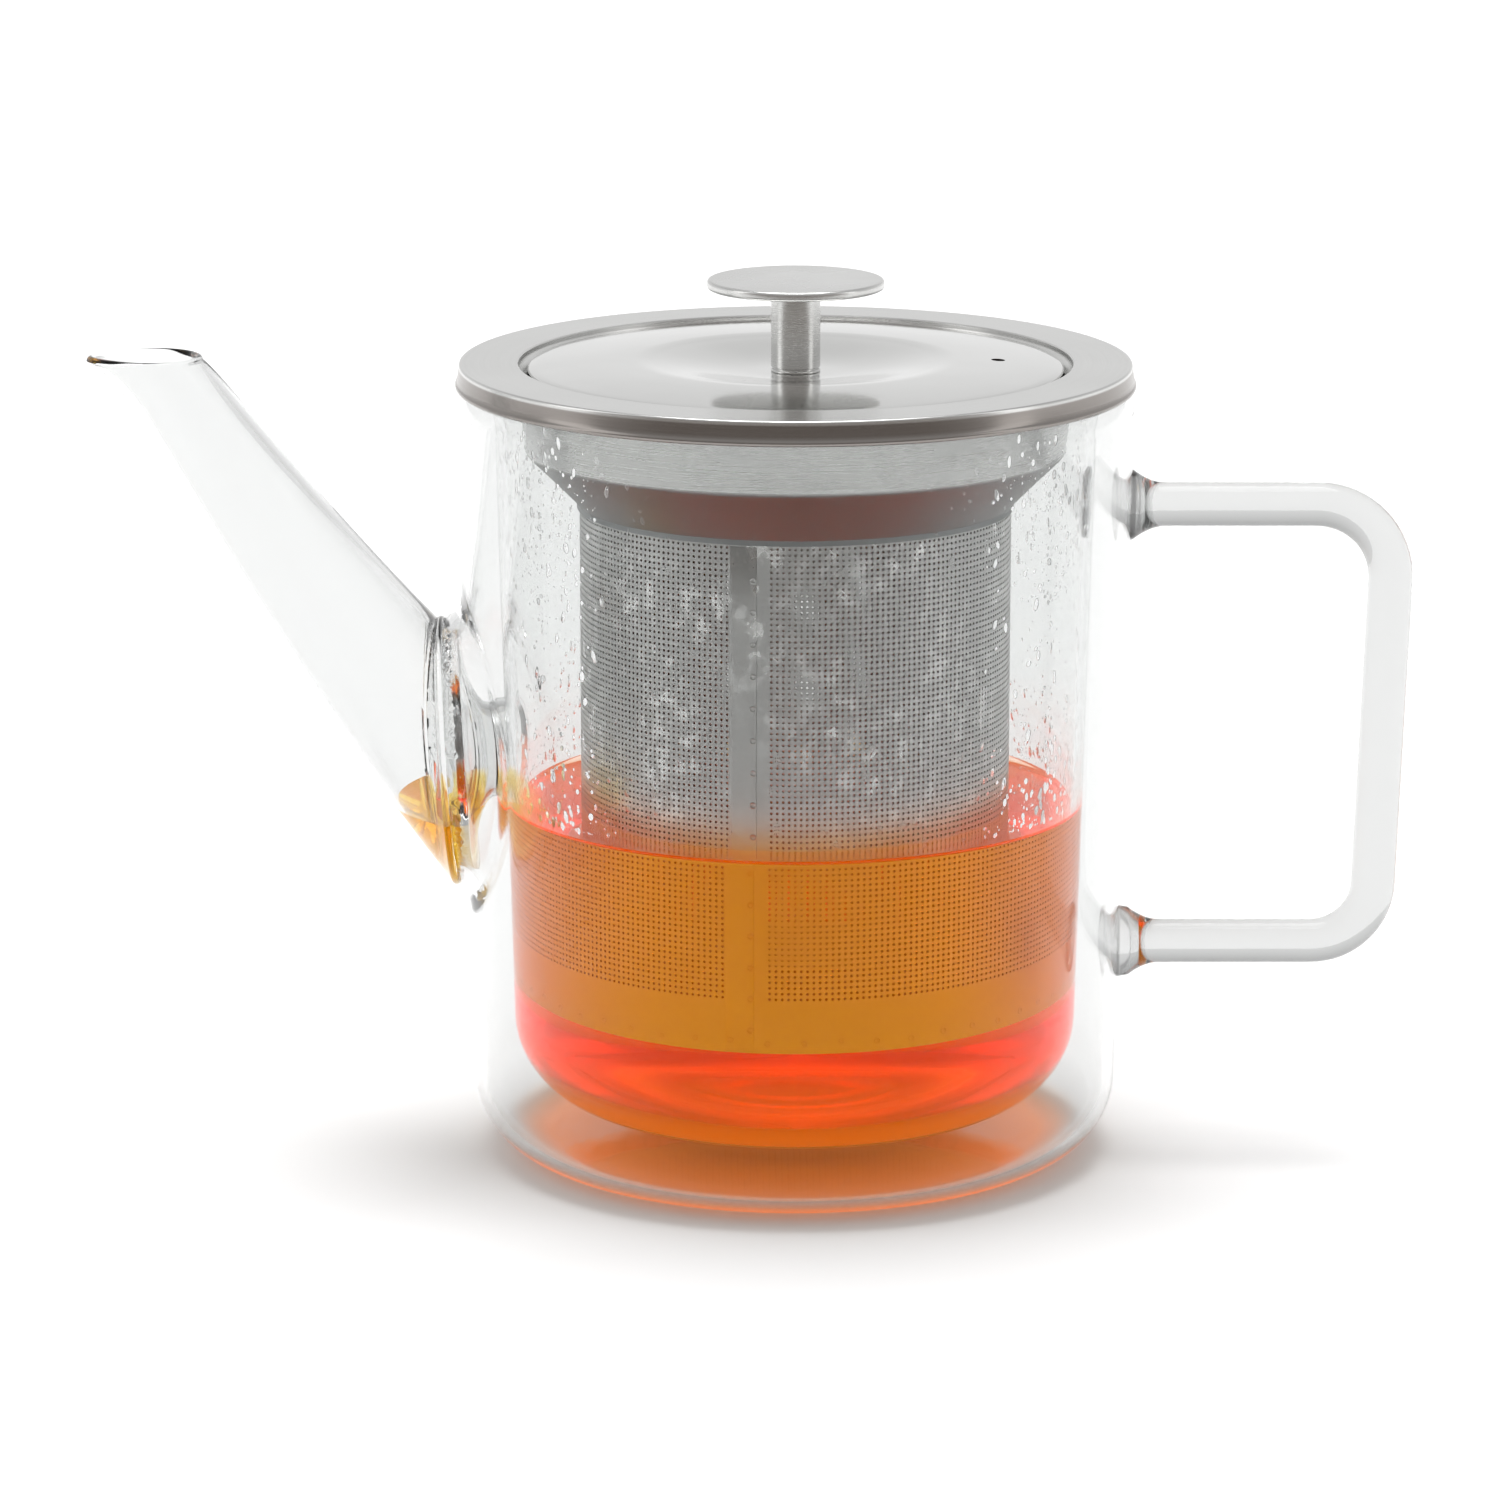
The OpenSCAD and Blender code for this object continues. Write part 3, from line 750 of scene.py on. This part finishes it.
def makeTeaInVessel(material):
    bite = tea["bite"]
    wall = vessel["wall"] - bite
    corner = vessel["corner"]
    cx = vessel["baseRadius"] - corner
    base = vessel["floor"] + wall
    level = tea["level"]
    outline = line((0, base), (cx, base), 4)
    outline += arc(cx, vessel["floor"] + corner, corner - wall, -90, 0, 18)[:-1]
    atWall = vesselInnerRadius(level) + bite
    cornerTop = (vessel["baseRadius"] - wall, vessel["floor"] + corner)
    outline += line(cornerTop, (atWall, level + tea["meniscus"]), 3)
    outline.append((atWall, level + tea["meniscus"]))
    # the surface climbs the glass in a short curve
    for i in range(9):
        d = 2.2 * i / 8
        climb = tea["meniscus"] * math.exp(-d / tea["meniscusDecay"])
        outline.append((atWall - bite - 0.02 - d, level + climb))
    outline += line((atWall - 4, level), (0, level), 6) + [(0, level)]
    piece = turn("tea_in_pot", outline, closed=False, steps=160)
    smoothShade(piece, 60)
    dress(piece, material, "pot", None)
    return piece


def makeTeaInSpout(material):
    bite = tea["bite"]
    port = neck["portRadius"] + bite
    inner = spout["ringRadius"] - spout["wall"] - neck["wall"] + bite
    outline = [(0, -neck["reach"] + 3), (port, -neck["reach"] + 3)] + bell(port, inner, neck["flare"])
    outline += [(inner, 1.4), (0, 1.4)]
    throat = turn("tea_throat", outline, closed=False, steps=96)
    putAtSpoutRing(throat)
    rows = 24
    sides = 64

    def place(column, row):
        angle = 2 * math.pi * (column % sides) / sides
        t = mix(0.5, 1, row / rows)
        return spoutPoint(t, angle, spoutWall(t) - bite)

    foot = wrapSheet("tea_foot", sides, rows, place)
    editAll(foot)
    bpy.ops.mesh.select_all(action="DESELECT")
    bpy.ops.mesh.select_non_manifold()
    bpy.ops.mesh.fill_holes(sides=0)
    bpy.ops.mesh.select_all(action="SELECT")
    bpy.ops.mesh.normals_make_consistent(inside=False)
    bpy.ops.object.mode_set(mode="OBJECT")
    cutWith(foot, throat, "UNION")
    clearSelection()
    bpy.ops.mesh.primitive_cube_add(size=1)
    above = bpy.context.object
    above.scale = (0.2, 0.2, 0.2)
    above.location = (spout["ringX"] * mm, 0, tea["level"] * mm + 0.1)
    bpy.ops.object.transform_apply(location=True, rotation=True, scale=True)
    cutWith(foot, above)
    foot.name = "tea_in_spout"
    smoothShade(foot, 40)
    dress(foot, material, "pot", None)
    return foot


droplets = {
    "count": 3600, "seed": 7, "smallest": 0.10, "largest": 0.62, "sizePower": 3.2, "thickness": 0.26,
    "besideBasket": 0.72, "low": 66, "high": 134,
}


def makeDroplets(material):
    # one drop with a flat back is repeated in a row, and each copy is then set on the inner glass
    clearSelection()
    bpy.ops.mesh.primitive_uv_sphere_add(segments=8, ring_count=5, radius=1)
    piece = bpy.context.object
    piece.name = "condensation"
    editAll(piece)
    bpy.ops.mesh.bisect(plane_co=(0, 0, -0.3), plane_no=(0, 0, 1), clear_inner=True, use_fill=True)
    bpy.ops.object.mode_set(mode="OBJECT")
    perDrop = len(piece.data.vertices)
    row = piece.modifiers.new("row", "ARRAY")
    row.count = droplets["count"]
    row.use_relative_offset = False
    row.use_constant_offset = True
    row.constant_offset_displace = (4, 0, 0)
    applyAll(piece)
    dice = random.Random(droplets["seed"])
    verts = piece.data.vertices
    for i in range(droplets["count"]):
        # drops gather beside the basket, under the collar and over the tea
        side = dice.random()
        if side < droplets["besideBasket"]:
            aside = dice.choice((-1, 1)) * abs(dice.gauss(60, 13))
            angle = math.radians(aside + dice.choice((-90, -90, 90)))
        else:
            angle = dice.uniform(0, 2 * math.pi)
        anywhere = mix(droplets["low"], droplets["high"], dice.random())
        underCollar = mix(104, 133, dice.random())
        overTea = mix(65, 82, dice.random() ** 2)
        height = dice.choice((anywhere, underCollar, overTea))
        size = mix(droplets["smallest"], droplets["largest"], dice.random() ** droplets["sizePower"])
        tall = dice.uniform(1.0, 2.2) if size > 0.45 else dice.uniform(0.85, 1.3)
        wide = dice.uniform(0.8, 1.15)
        thick = droplets["thickness"] * dice.uniform(0.8, 1.2)
        spin = dice.uniform(-0.35, 0.35)
        for v in verts[i * perDrop:(i + 1) * perDrop]:
            x = (v.co.x - 4 * i) * size * wide
            z = v.co.y * size * tall
            x, z = x * math.cos(spin) - z * math.sin(spin), x * math.sin(spin) + z * math.cos(spin)
            out = vesselInnerRadius(height + z) - v.co.z * size * thick
            turnBy = angle + x / out
            v.co = Vector((out * math.cos(turnBy), out * math.sin(turnBy), height + z)) * mm
    smoothShade(piece, 60)
    dress(piece, material, "pot", None)
    return piece


infuser = {
    "top": 140.9, "flangeRadius": 58.9, "flangeInner": 48.6, "sheet": 0.7, "lipDrop": 4.3, "bead": 0.55,
    "collarRadius": 47.5, "collarSheet": 0.5, "collarRound": 1.2, "collarBottom": 126.3,
    "sleeveTop": 117.5, "sleeveBottom": 115.9,
}


def makeFlange(material):
    top = infuser["top"]
    sheet = infuser["sheet"]
    radius = infuser["flangeRadius"]
    lipBottom = top - infuser["lipDrop"]
    bead = infuser["bead"]
    outline = line((infuser["flangeInner"], top - sheet), (radius - sheet - 0.4, top - sheet), 3)
    outline += arc(radius - sheet - 0.4, top - sheet - 0.4, 0.4, 90, 0, 5)
    # the band flares a little on its way down and ends in a rolled bead
    outline += [(radius - sheet, top - 2.4), (radius - sheet, lipBottom + 2 * bead)]
    outline += arc(radius - 0.1, lipBottom + bead, bead, 150, 410, 14)
    outline += [(radius + 0.14, lipBottom + 1.15), (radius + 0.08, lipBottom + 1.7)]
    outline.append((radius - 0.2, top - 0.9))
    outline += arc(radius - 0.60, top - 0.40, 0.40, 8, 90, 7)
    outline += line((radius - 0.9, top), (infuser["flangeInner"], top), 3) + [(infuser["flangeInner"], top)]
    piece = turn("infuser_flange_ring", outline, steps=192)
    smoothShade(piece, 35)
    dress(piece, material, "infuser", "polished_steel", "infuser_flange")
    return piece


def makeCollar(material):
    top = infuser["top"]
    radius = infuser["collarRadius"]
    sheet = infuser["collarSheet"]
    bend = infuser["collarRound"]
    bottom = infuser["collarBottom"]
    sleeve = basket["radius"]
    # the flange's inner edge drops straight, then eases in to the wall
    edge = infuser["flangeInner"] - 0.25
    outline = [(infuser["flangeInner"] + 0.02, top), (edge + 0.12, top - 0.04), (edge, top - 0.2)]
    outline += [(edge - (edge - radius + sheet) * smooth(i / 8), top - 0.8 - 2.4 * i / 8) for i in range(9)]
    outline += line((radius - sheet, top - bend - 2.6), (radius - sheet, bottom + 1.4), 3)
    inside = radius - sheet
    outline += [(inside, bottom + 1.2), (inside - 0.25, bottom + 0.5), (inside - 0.9, bottom - 0.35)]
    outline += [(sleeve + 0.7, infuser["sleeveTop"] + 0.6), (sleeve + 0.12, infuser["sleeveTop"] - 0.1)]
    outline += [(sleeve, infuser["sleeveTop"] - 0.5), (sleeve, infuser["sleeveBottom"])]
    outline += [(sleeve + sheet, infuser["sleeveBottom"]), (sleeve + sheet, infuser["sleeveTop"] - 0.7)]
    outline.append((sleeve + 0.95, infuser["sleeveTop"]))
    outline += [(radius - 0.75, bottom - 0.6), (radius - 0.12, bottom + 0.3)]
    outline += [(radius, bottom + 1.1)]
    outline += [(radius, top - 4.2), (radius + 0.5, top - 3.0), (radius + 1.1, top - 1.6)]
    outline += [(infuser["flangeInner"] + 0.02, top - infuser["sheet"] - 0.02)]
    piece = turn("infuser_collar_ring", outline, steps=176)
    smoothShade(piece, 30)
    dress(piece, material, "infuser", "satin_steel", "infuser_collar")
    return piece


basket = {
    "radius": 37.8, "sheet": 0.5, "bottom": 27.4, "top": 117.5, "holesFrom": 36.6, "holesTo": 115.8,
    "rows": 79, "hole": 0.48, "panels": 5, "columns": 46, "stripFrom": -17.2, "stripTo": -7.2,
    "seamTo": -10.2, "seamProud": 0.22, "weldRadius": 0.62, "weldStep": 5.6, "weldsUpSeam": 15,
    "floorSheet": 0.6, "floorPitch": 1.15, "floorHoles": 32.0,
}


def makeHoleCell(name, pitchX, pitchY, hole):
    # one square of sheet with a round hole through it, lying flat with its corner at the origin
    clearSelection()
    bpy.ops.mesh.primitive_circle_add(vertices=8, radius=hole, fill_type="NOTHING")
    piece = bpy.context.object
    piece.name = name
    bpy.ops.object.mode_set(mode="EDIT")
    bpy.ops.mesh.select_all(action="SELECT")
    bpy.ops.mesh.extrude_region_move()
    bpy.ops.transform.resize(value=(4, 4, 1))
    bpy.ops.object.mode_set(mode="OBJECT")
    for v in piece.data.vertices:
        if v.co.length > 2 * hole:
            v.co.x = round(v.co.x / hole / 3.9) * pitchX / 2
            v.co.y = round(v.co.y / hole / 3.9) * pitchY / 2
        v.co.x += pitchX / 2
        v.co.y += pitchY / 2
    return piece


def repeat(piece, name, count, step):
    modifier = piece.modifiers.new(name, "ARRAY")
    modifier.count = count
    modifier.use_relative_offset = False
    modifier.use_constant_offset = True
    modifier.constant_offset_displace = step


def makePerforatedPanels(material):
    # a flat panel of holes, rolled onto the basket's radius and repeated round the axis
    span = (360 - (basket["stripTo"] - basket["stripFrom"])) / basket["panels"]
    pitchX = math.radians(span) * basket["radius"] / basket["columns"]
    pitchZ = (basket["holesTo"] - basket["holesFrom"]) / basket["rows"]
    first = makeHoleCell("basket_panel_1", pitchX, pitchZ, basket["hole"] / 2)
    repeat(first, "across", basket["columns"], (pitchX, 0, 0))
    repeat(first, "up", basket["rows"], (0, pitchZ, 0))
    applyAll(first)
    editAll(first)
    bpy.ops.mesh.remove_doubles(threshold=0.01)
    bpy.ops.mesh.normals_make_consistent(inside=False)
    bpy.ops.object.mode_set(mode="OBJECT")
    if first.data.polygons[0].normal.z < 0:
        first.data.flip_normals()
    sheet = first.modifiers.new("sheet", "SOLIDIFY")
    sheet.thickness = basket["sheet"]
    sheet.offset = -1
    applyAll(first)
    start = math.radians(-90 + basket["stripTo"])
    for v in first.data.vertices:
        x, y, z = v.co
        a = start + x / basket["radius"]
        r = basket["radius"] + z
        v.co = Vector((r * math.cos(a), r * math.sin(a), basket["holesFrom"] + y)) * mm
    panels = [first]
    for i in range(1, basket["panels"]):
        panel = first.copy()
        panel.data = first.data.copy()
        panel.name = f"basket_panel_{i + 1}"
        bpy.context.collection.objects.link(panel)
        panel.data.transform(Matrix.Rotation(math.radians(span) * i, 4, "Z"))
        panels.append(panel)
    for panel in panels:
        dress(panel, material, "infuser", "perforated_steel", "basket_wall")
    return panels


def makeBasketPlain(material):
    # the unpierced sheet: top and bottom bands and the strip with the lapped seam
    outer = basket["radius"]
    inner = outer - basket["sheet"]

    def band(low, high, name):
        return turn(name, [(inner, low), (outer, low), (outer, high), (inner, high)], steps=176)

    bottom = band(basket["bottom"], basket["holesFrom"] + 0.02, "basket_bottom_band")
    top = band(basket["holesTo"] - 0.02, basket["top"], "basket_top_band")

    def strip(fromAngle, toAngle, low, high, rLow, rHigh, name):
        clearSelection()
        bpy.ops.mesh.primitive_cube_add(size=1)
        piece = bpy.context.object
        piece.name = name
        bpy.ops.object.mode_set(mode="EDIT")
        bpy.ops.mesh.subdivide(number_cuts=7)
        bpy.ops.object.mode_set(mode="OBJECT")
        for v in piece.data.vertices:
            a = math.radians(-90 + mix(fromAngle, toAngle, v.co.x + 0.5))
            r = mix(rLow, rHigh, v.co.y + 0.5)
            v.co = Vector((r * math.cos(a), r * math.sin(a), mix(low, high, v.co.z + 0.5))) * mm
        weldAndFaceOut(piece)
        return piece

    plain = strip(
        basket["stripFrom"] - 0.05, basket["stripTo"] + 0.05, basket["holesFrom"], basket["holesTo"],
        inner + 0.01, outer - 0.01, "basket_strip")
    lap = strip(
        basket["stripFrom"], basket["seamTo"], basket["bottom"] + 0.1, basket["top"] - 2.0,
        outer - 0.1, outer + basket["seamProud"], "basket_lap")
    bpy.context.view_layer.objects.active = lap
    bevel = lap.modifiers.new("edge", "BEVEL")
    bevel.width = 0.08 * mm
    bevel.segments = 2
    bevel.limit_method = "ANGLE"
    applyAll(lap)
    dots = makeSpotWelds(outer)
    piece = joinPieces("basket_plain_sheet", [bottom, top, plain, lap, dots])
    smoothShade(piece, 30)
    dress(piece, material, "infuser", "perforated_steel", "basket_wall")
    return piece


def makeSpotWelds(outer):
    # round dimples of the spot welder, up the seam and along the bottom band
    clearSelection()
    bpy.ops.mesh.primitive_cylinder_add(vertices=16, radius=basket["weldRadius"], depth=0.2)
    piece = bpy.context.object
    piece.name = "spot_weld"
    bpy.ops.object.mode_set(mode="EDIT")
    bpy.ops.mesh.select_all(action="DESELECT")
    bpy.ops.object.mode_set(mode="OBJECT")
    for face in piece.data.polygons:
        face.select = face.normal.z > 0.9
    bpy.ops.object.mode_set(mode="EDIT")
    bpy.ops.mesh.inset(thickness=0.14, depth=0.05)
    bpy.ops.mesh.inset(thickness=0.16, depth=-0.09)
    bpy.ops.object.mode_set(mode="OBJECT")
    heights = [basket["bottom"] + 4 + basket["weldStep"] * i for i in range(basket["weldsUpSeam"])]
    upSeam = [(basket["seamTo"] - 0.9, z) for z in heights]
    low = basket["bottom"] + 1.9
    bottomRow = [(angle, low + 0.3 * math.sin(3 * angle)) for angle in range(-178, 180, 9)]
    places = upSeam + bottomRow
    perDot = len(piece.data.vertices)
    repeat(piece, "dots", len(places), (4, 0, 0))
    applyAll(piece)
    for i, (angle, z) in enumerate(places):
        proud = basket["seamProud"] if basket["stripFrom"] <= angle <= basket["seamTo"] else 0
        for v in piece.data.vertices[i * perDot:(i + 1) * perDot]:
            a = math.radians(-90 + angle) + (v.co.x - 4 * i) / outer
            r = outer + proud - 0.06 + v.co.z
            v.co = Vector((r * math.cos(a), r * math.sin(a), z + v.co.y)) * mm
    weldAndFaceOut(piece)
    return piece


def makeBasketFloor(material):
    pitch = basket["floorPitch"]
    count = math.floor(2 * basket["floorHoles"] / pitch)
    holes = makeHoleCell("basket_floor_sheet", pitch, pitch, basket["hole"] / 2)
    repeat(holes, "across", count, (pitch, 0, 0))
    repeat(holes, "up", count, (0, pitch, 0))
    applyAll(holes)
    shift = -count * pitch / 2
    # cells outside the round field go
    for face in holes.data.polygons:
        x = (math.floor(face.center.x / pitch) + 0.5) * pitch + shift
        y = (math.floor(face.center.y / pitch) + 0.5) * pitch + shift
        face.select = math.hypot(x, y) > basket["floorHoles"]
    bpy.ops.object.mode_set(mode="EDIT")
    bpy.ops.mesh.select_mode(type="FACE")
    bpy.ops.mesh.delete(type="FACE")
    bpy.ops.mesh.select_mode(type="VERT")
    bpy.ops.mesh.select_all(action="SELECT")
    bpy.ops.mesh.remove_doubles(threshold=0.01)
    bpy.ops.object.mode_set(mode="OBJECT")
    if holes.data.polygons[0].normal.z < 0:
        holes.data.flip_normals()
    sheet = holes.modifiers.new("sheet", "SOLIDIFY")
    sheet.thickness = basket["floorSheet"] - 0.1
    sheet.offset = -1
    applyAll(holes)
    floorTop = basket["bottom"] + basket["floorSheet"] - 0.05
    for v in holes.data.vertices:
        v.co = Vector((v.co.x + shift, v.co.y + shift, floorTop + v.co.z)) * mm
    low = basket["bottom"]
    sheetT = basket["sheet"]
    inner = basket["radius"] - sheetT - 0.02
    outline = [(basket["floorHoles"] - 1.6, low + 0.02), (inner - 0.5, low + 0.02), (inner, low + 0.5)]
    outline += [(inner, low + 3.6), (inner - sheetT, low + 3.6), (inner - sheetT, low + 1.1)]
    outline.append((inner - sheetT - 0.5, low + basket["floorSheet"]))
    outline.append((basket["floorHoles"] - 1.6, low + basket["floorSheet"]))
    rim = turn("basket_floor_rim", outline, steps=128)
    piece = joinPieces("basket_floor_sheet", [holes, rim])
    smoothShade(piece, 30)
    dress(piece, material, "infuser", "perforated_steel", "basket_floor")
    return piece


lid = {
    "radius": 46.7, "edge": 140.2, "crease": 141.3, "creaseRadius": 27.0, "creaseDrop": 0.12,
    "middle": 139.1, "flat": 6.0, "sheet": 0.8, "edgeRound": 0.5, "ventX": 35.3, "vent": 2.4,
    "screwHole": 1.6, "skirtRadius": 46.3, "skirtSheet": 0.5, "skirtBottom": 126.4,
}


def lidHeight(r):
    # shallow dish, soft crease, then a slight fall to the rolled edge
    if r < lid["creaseRadius"]:
        t = (r - lid["flat"]) / (lid["creaseRadius"] - lid["flat"])
        rise = smooth(t) * 0.6 + min(max(t, 0), 1) ** 2 * 0.4
        return mix(lid["middle"], lid["crease"], rise) - lid["creaseDrop"] * max(t, 0) ** 8
    t = (r - lid["creaseRadius"]) / (lid["radius"] - lid["creaseRadius"])
    return mix(lid["crease"], lid["edge"], t ** 1.6)


def makeLidCover(material):
    sheet = lid["sheet"]
    edge = lid["edgeRound"]
    rim = lid["radius"]
    stations = [i * 1.5 for i in range(1, 31)]
    upper = [(r, lidHeight(r)) for r in stations if r < rim - edge]
    outline = [(0, lid["middle"])] + upper
    outline += arc(rim - edge, lid["edge"] - edge, edge, 75, -90, 10)
    outline += [(rim - 1.6, lid["edge"] - sheet)]
    outline += [(r, z - sheet) for r, z in reversed(upper) if r < rim - 2.2]
    outline += [(0, lid["middle"] - sheet)]
    piece = turn("lid_plate", outline, closed=False, steps=176)
    vent = rod("vent", lid["vent"] / 2, lid["middle"] - 4, lid["middle"] + 6, sides=40)
    pick(vent)
    vent.location.x = lid["ventX"] * mm
    bpy.ops.object.transform_apply(location=True, rotation=True, scale=True)
    cutWith(piece, vent)
    cutWith(piece, rod("screw_way", lid["screwHole"], lid["middle"] - 4, lid["middle"] + 4, sides=40))
    smoothShade(piece, 30)
    dress(piece, material, "lid", "polished_steel", "lid_cover")
    return piece


def makeLidSkirt(material):
    r = lid["skirtRadius"]
    t = lid["skirtSheet"]
    low = lid["skirtBottom"]
    top = lid["edge"] - 2 * lid["edgeRound"] + 0.05
    # a small inward roll stiffens the lower edge
    roll = r - t - 0.3
    outline = [(r - t, top), (r - t, low + 1.4), (roll, low + 0.9), (roll, low + 0.25), (r - t, low)]
    outline += [(r - 0.3, low + 0.05), (r - 0.12, low + 0.7), (r, low + 1.4), (r, top)]
    piece = turn("lid_skirt_band", outline, steps=160)
    smoothShade(piece, 30)
    dress(piece, material, "lid", "satin_steel", "lid_skirt")
    return piece


knob = {
    "disc": 30.9, "top": 155.3, "thick": 1.6, "stem": 8.6, "stemEase": 0.12, "foot": 0.5, "groove": 0.3,
    "grooveDepth": 0.35, "tapping": 8.5,
}


def makeKnobStem(material):
    r = knob["stem"] / 2
    low = lid["middle"] + 0.01
    foot = low + knob["foot"]
    top = knob["top"] - knob["thick"] + 0.02
    ease = knob["stemEase"]
    outline = [(0, low), (r - ease, low), (r, low + ease), (r, foot - ease), (r - ease, foot)]
    inGroove = r - knob["grooveDepth"]
    outline += [(inGroove, foot + 0.02), (inGroove, foot + knob["groove"] - 0.02)]
    outline += [(r - ease, foot + knob["groove"]), (r, foot + knob["groove"] + ease)]
    outline += line((r, foot + knob["groove"] + 1), (r, top - 0.5), 2)
    outline += [(r, top), (0, top)]
    piece = turn("knob_post", outline, closed=False, steps=96)
    tapping = rod("tapping", lid["screwHole"], lid["middle"] - 1, lid["middle"] + knob["tapping"], sides=32)
    cutWith(piece, tapping)
    smoothShade(piece, 30)
    dress(piece, material, "lid", "satin_steel", "knob_stem")
    return piece


def makeKnobDisc(material):
    r = knob["disc"] / 2
    top = knob["top"]
    low = top - knob["thick"]
    outline = line((0, low), (r - 0.5, low), 2.5)
    outline += arc(r - 0.5, low + 0.5, 0.5, -90, 0, 6) + arc(r - 0.6, top - 0.6, 0.6, 0, 90, 8)
    outline += line((r - 0.8, top), (0, top), 2.5) + [(0, top)]
    piece = turn("knob_plate", outline, closed=False, steps=144)
    smoothShade(piece, 35)
    dress(piece, material, "lid", "satin_steel", "knob_disc")
    return piece


studio = {
    "floorDepth": 12, "floorWidth": 14, "floorFront": 0.61, "floorDrop": 0.4, "bounce": 0.10,
    "behind": (1.0, 1.0, 1.0), "above": (0.60, 0.60, 0.60), "front": (0.30, 0.27, 0.25),
    "sun": 2.0, "sunWidth": 40, "leftPower": 2.2, "rightPower": 1.5,
}


def makeFloor():
    clearSelection()
    bpy.ops.mesh.primitive_plane_add(size=1)
    floor = bpy.context.object
    floor.name = "studio_floor"
    # it ends a little in front of the pot, so that upright steel mirrors the darker side of the room
    floor.scale = (studio["floorWidth"], studio["floorDepth"], 1)
    floor.location = (0, studio["floorDepth"] / 2 - studio["floorFront"], -studio["floorDrop"] * mm)
    bpy.ops.object.transform_apply(location=True, rotation=True, scale=True)
    material, tree, shader, place = newMaterial("studioFloor")
    shader.inputs["Base Color"].default_value = (0.93, 0.93, 0.93, 1)
    shader.inputs["Roughness"].default_value = 0.7
    shader.inputs["Specular IOR Level"].default_value = 0.2
    shader.inputs["Emission Color"].default_value = (1, 1, 1, 1)
    shader.inputs["Emission Strength"].default_value = studio["bounce"]  # light from the rest of the room
    floor.data.materials.append(material)


def areaLight(name, place, target, width, height, power):
    data = bpy.data.lights.new(name, "AREA")
    data.shape = "RECTANGLE"
    data.size = width
    data.size_y = height
    data.energy = power
    light = bpy.data.objects.new(name, data)
    bpy.context.scene.collection.objects.link(light)
    light.location = place
    light.rotation_euler = (Vector(target) - Vector(place)).to_track_quat("-Z", "Y").to_euler()


def makeStudio():
    makeFloor()
    centre = (0, 0, 0.07)
    sun = bpy.data.lights.new("overhead", "SUN")
    sun.energy = studio["sun"]
    sun.angle = math.radians(studio["sunWidth"])
    overhead = bpy.data.objects.new("overhead", sun)
    overhead.rotation_euler = (math.radians(-8), math.radians(-1), 0)
    bpy.context.scene.collection.objects.link(overhead)
    areaLight("left_wall", (-1.3, -0.2, 0.7), centre, 0.5, 1.2, studio["leftPower"])
    areaLight("right_wall", (1.3, -0.3, 0.6), centre, 0.4, 1.1, studio["rightPower"])
    world = bpy.data.worlds.new("studio")
    bpy.context.scene.world = world
    world.use_nodes = True
    tree = world.node_tree
    direction = Sock(tree, tree.nodes.new("ShaderNodeTexCoord").outputs["Generated"])
    # white behind and above, grey on the camera's side of the room
    behind = direction.part(1).fit(-0.7, 0.35).blend(studio["front"], studio["behind"])
    level = direction.part(2).fit(0.0, 0.65)
    sky = level.node(
        "ShaderNodeMix", {0: level, 6: behind, 7: (*studio["above"], 1)}, output=2, data_type="RGBA")
    background = tree.nodes["Background"]
    connect(tree, sky, background.inputs["Color"])
    background.inputs["Strength"].default_value = 1.0


def makeCamera():
    data = bpy.data.cameras.new("camera")
    data.lens = 153.5
    data.sensor_width = 36
    camera = bpy.data.objects.new("camera", data)
    bpy.context.scene.collection.objects.link(camera)
    camera.location = (-0.00795, -1.10, 0.3326)
    camera.rotation_euler = (math.radians(76.63), 0, 0)
    bpy.context.scene.camera = camera


print("materials")
clearGlass = makeGlass("clearGlass", glass["clearShadeTint"])
spoutGlass = makeGlass("spoutGlass", glass["outerShadeTint"])
outerGlass = makeGlass("outerGlass", glass["outerShadeTint"])
makeBaseGlow(outerGlass, glass["outerShadeTint"])
rodGlass = makeGlass("rodGlass", glass["rodShadeTint"])
potTea = makeTea("potTea", brew["potDensity"], brew["glow"], brew["floorGlow"])
spoutTea = makeTea("spoutTea", brew["spoutDensity"], brew["spoutGlow"], brew["spoutGlow"])
water = makeWater()
satinSteel = makeSatinSteel("satinSteel", steel["satinDark"], steel["satinLight"], None)
collarSteel = makeSatinSteel("collarSteel", steel["satinDark"], steel["satinLight"], steel["taperShade"])
polishedSteel = makePolishedSteel(
    "polishedSteel", steel["lidDark"], steel["lidLight"], steel["lidRoughness"], None)
flangeSteel = makePolishedSteel(
    "flangeSteel", steel["flangeDark"], steel["flangeLight"], steel["flangeRoughness"], steel["lip"])
perforatedSteel = makePerforatedSteel()
screwSteel = makeScrewSteel()

print("glass")
makeOuterGlass(outerGlass)
makeInnerVessel(clearGlass)
makeSpoutTube(spoutGlass)
makeHandle(rodGlass)

print("tea")
makeTeaInVessel(potTea)
makeTeaInSpout(spoutTea)
makeDroplets(water)

print("infuser")
makeFlange(flangeSteel)
makeCollar(collarSteel)
makePerforatedPanels(perforatedSteel)
makeBasketPlain(perforatedSteel)
makeBasketFloor(perforatedSteel)

print("lid")
makeLidCover(polishedSteel)
makeLidSkirt(satinSteel)
makeKnobStem(satinSteel)
makeKnobDisc(satinSteel)
for name in ("knob_screw", "knob_washer"):
    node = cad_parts[name]
    node.data.materials.clear()
    node.data.materials.append(screwSteel)

print("studio")
makeStudio()
makeCamera()
scene = bpy.context.scene
scene.view_settings.view_transform = "Standard"
# light crosses up to a dozen glass and tea surfaces on its way through the pot
scene.cycles.max_bounces = 40
scene.cycles.transmission_bounces = 40
scene.cycles.glossy_bounces = 12
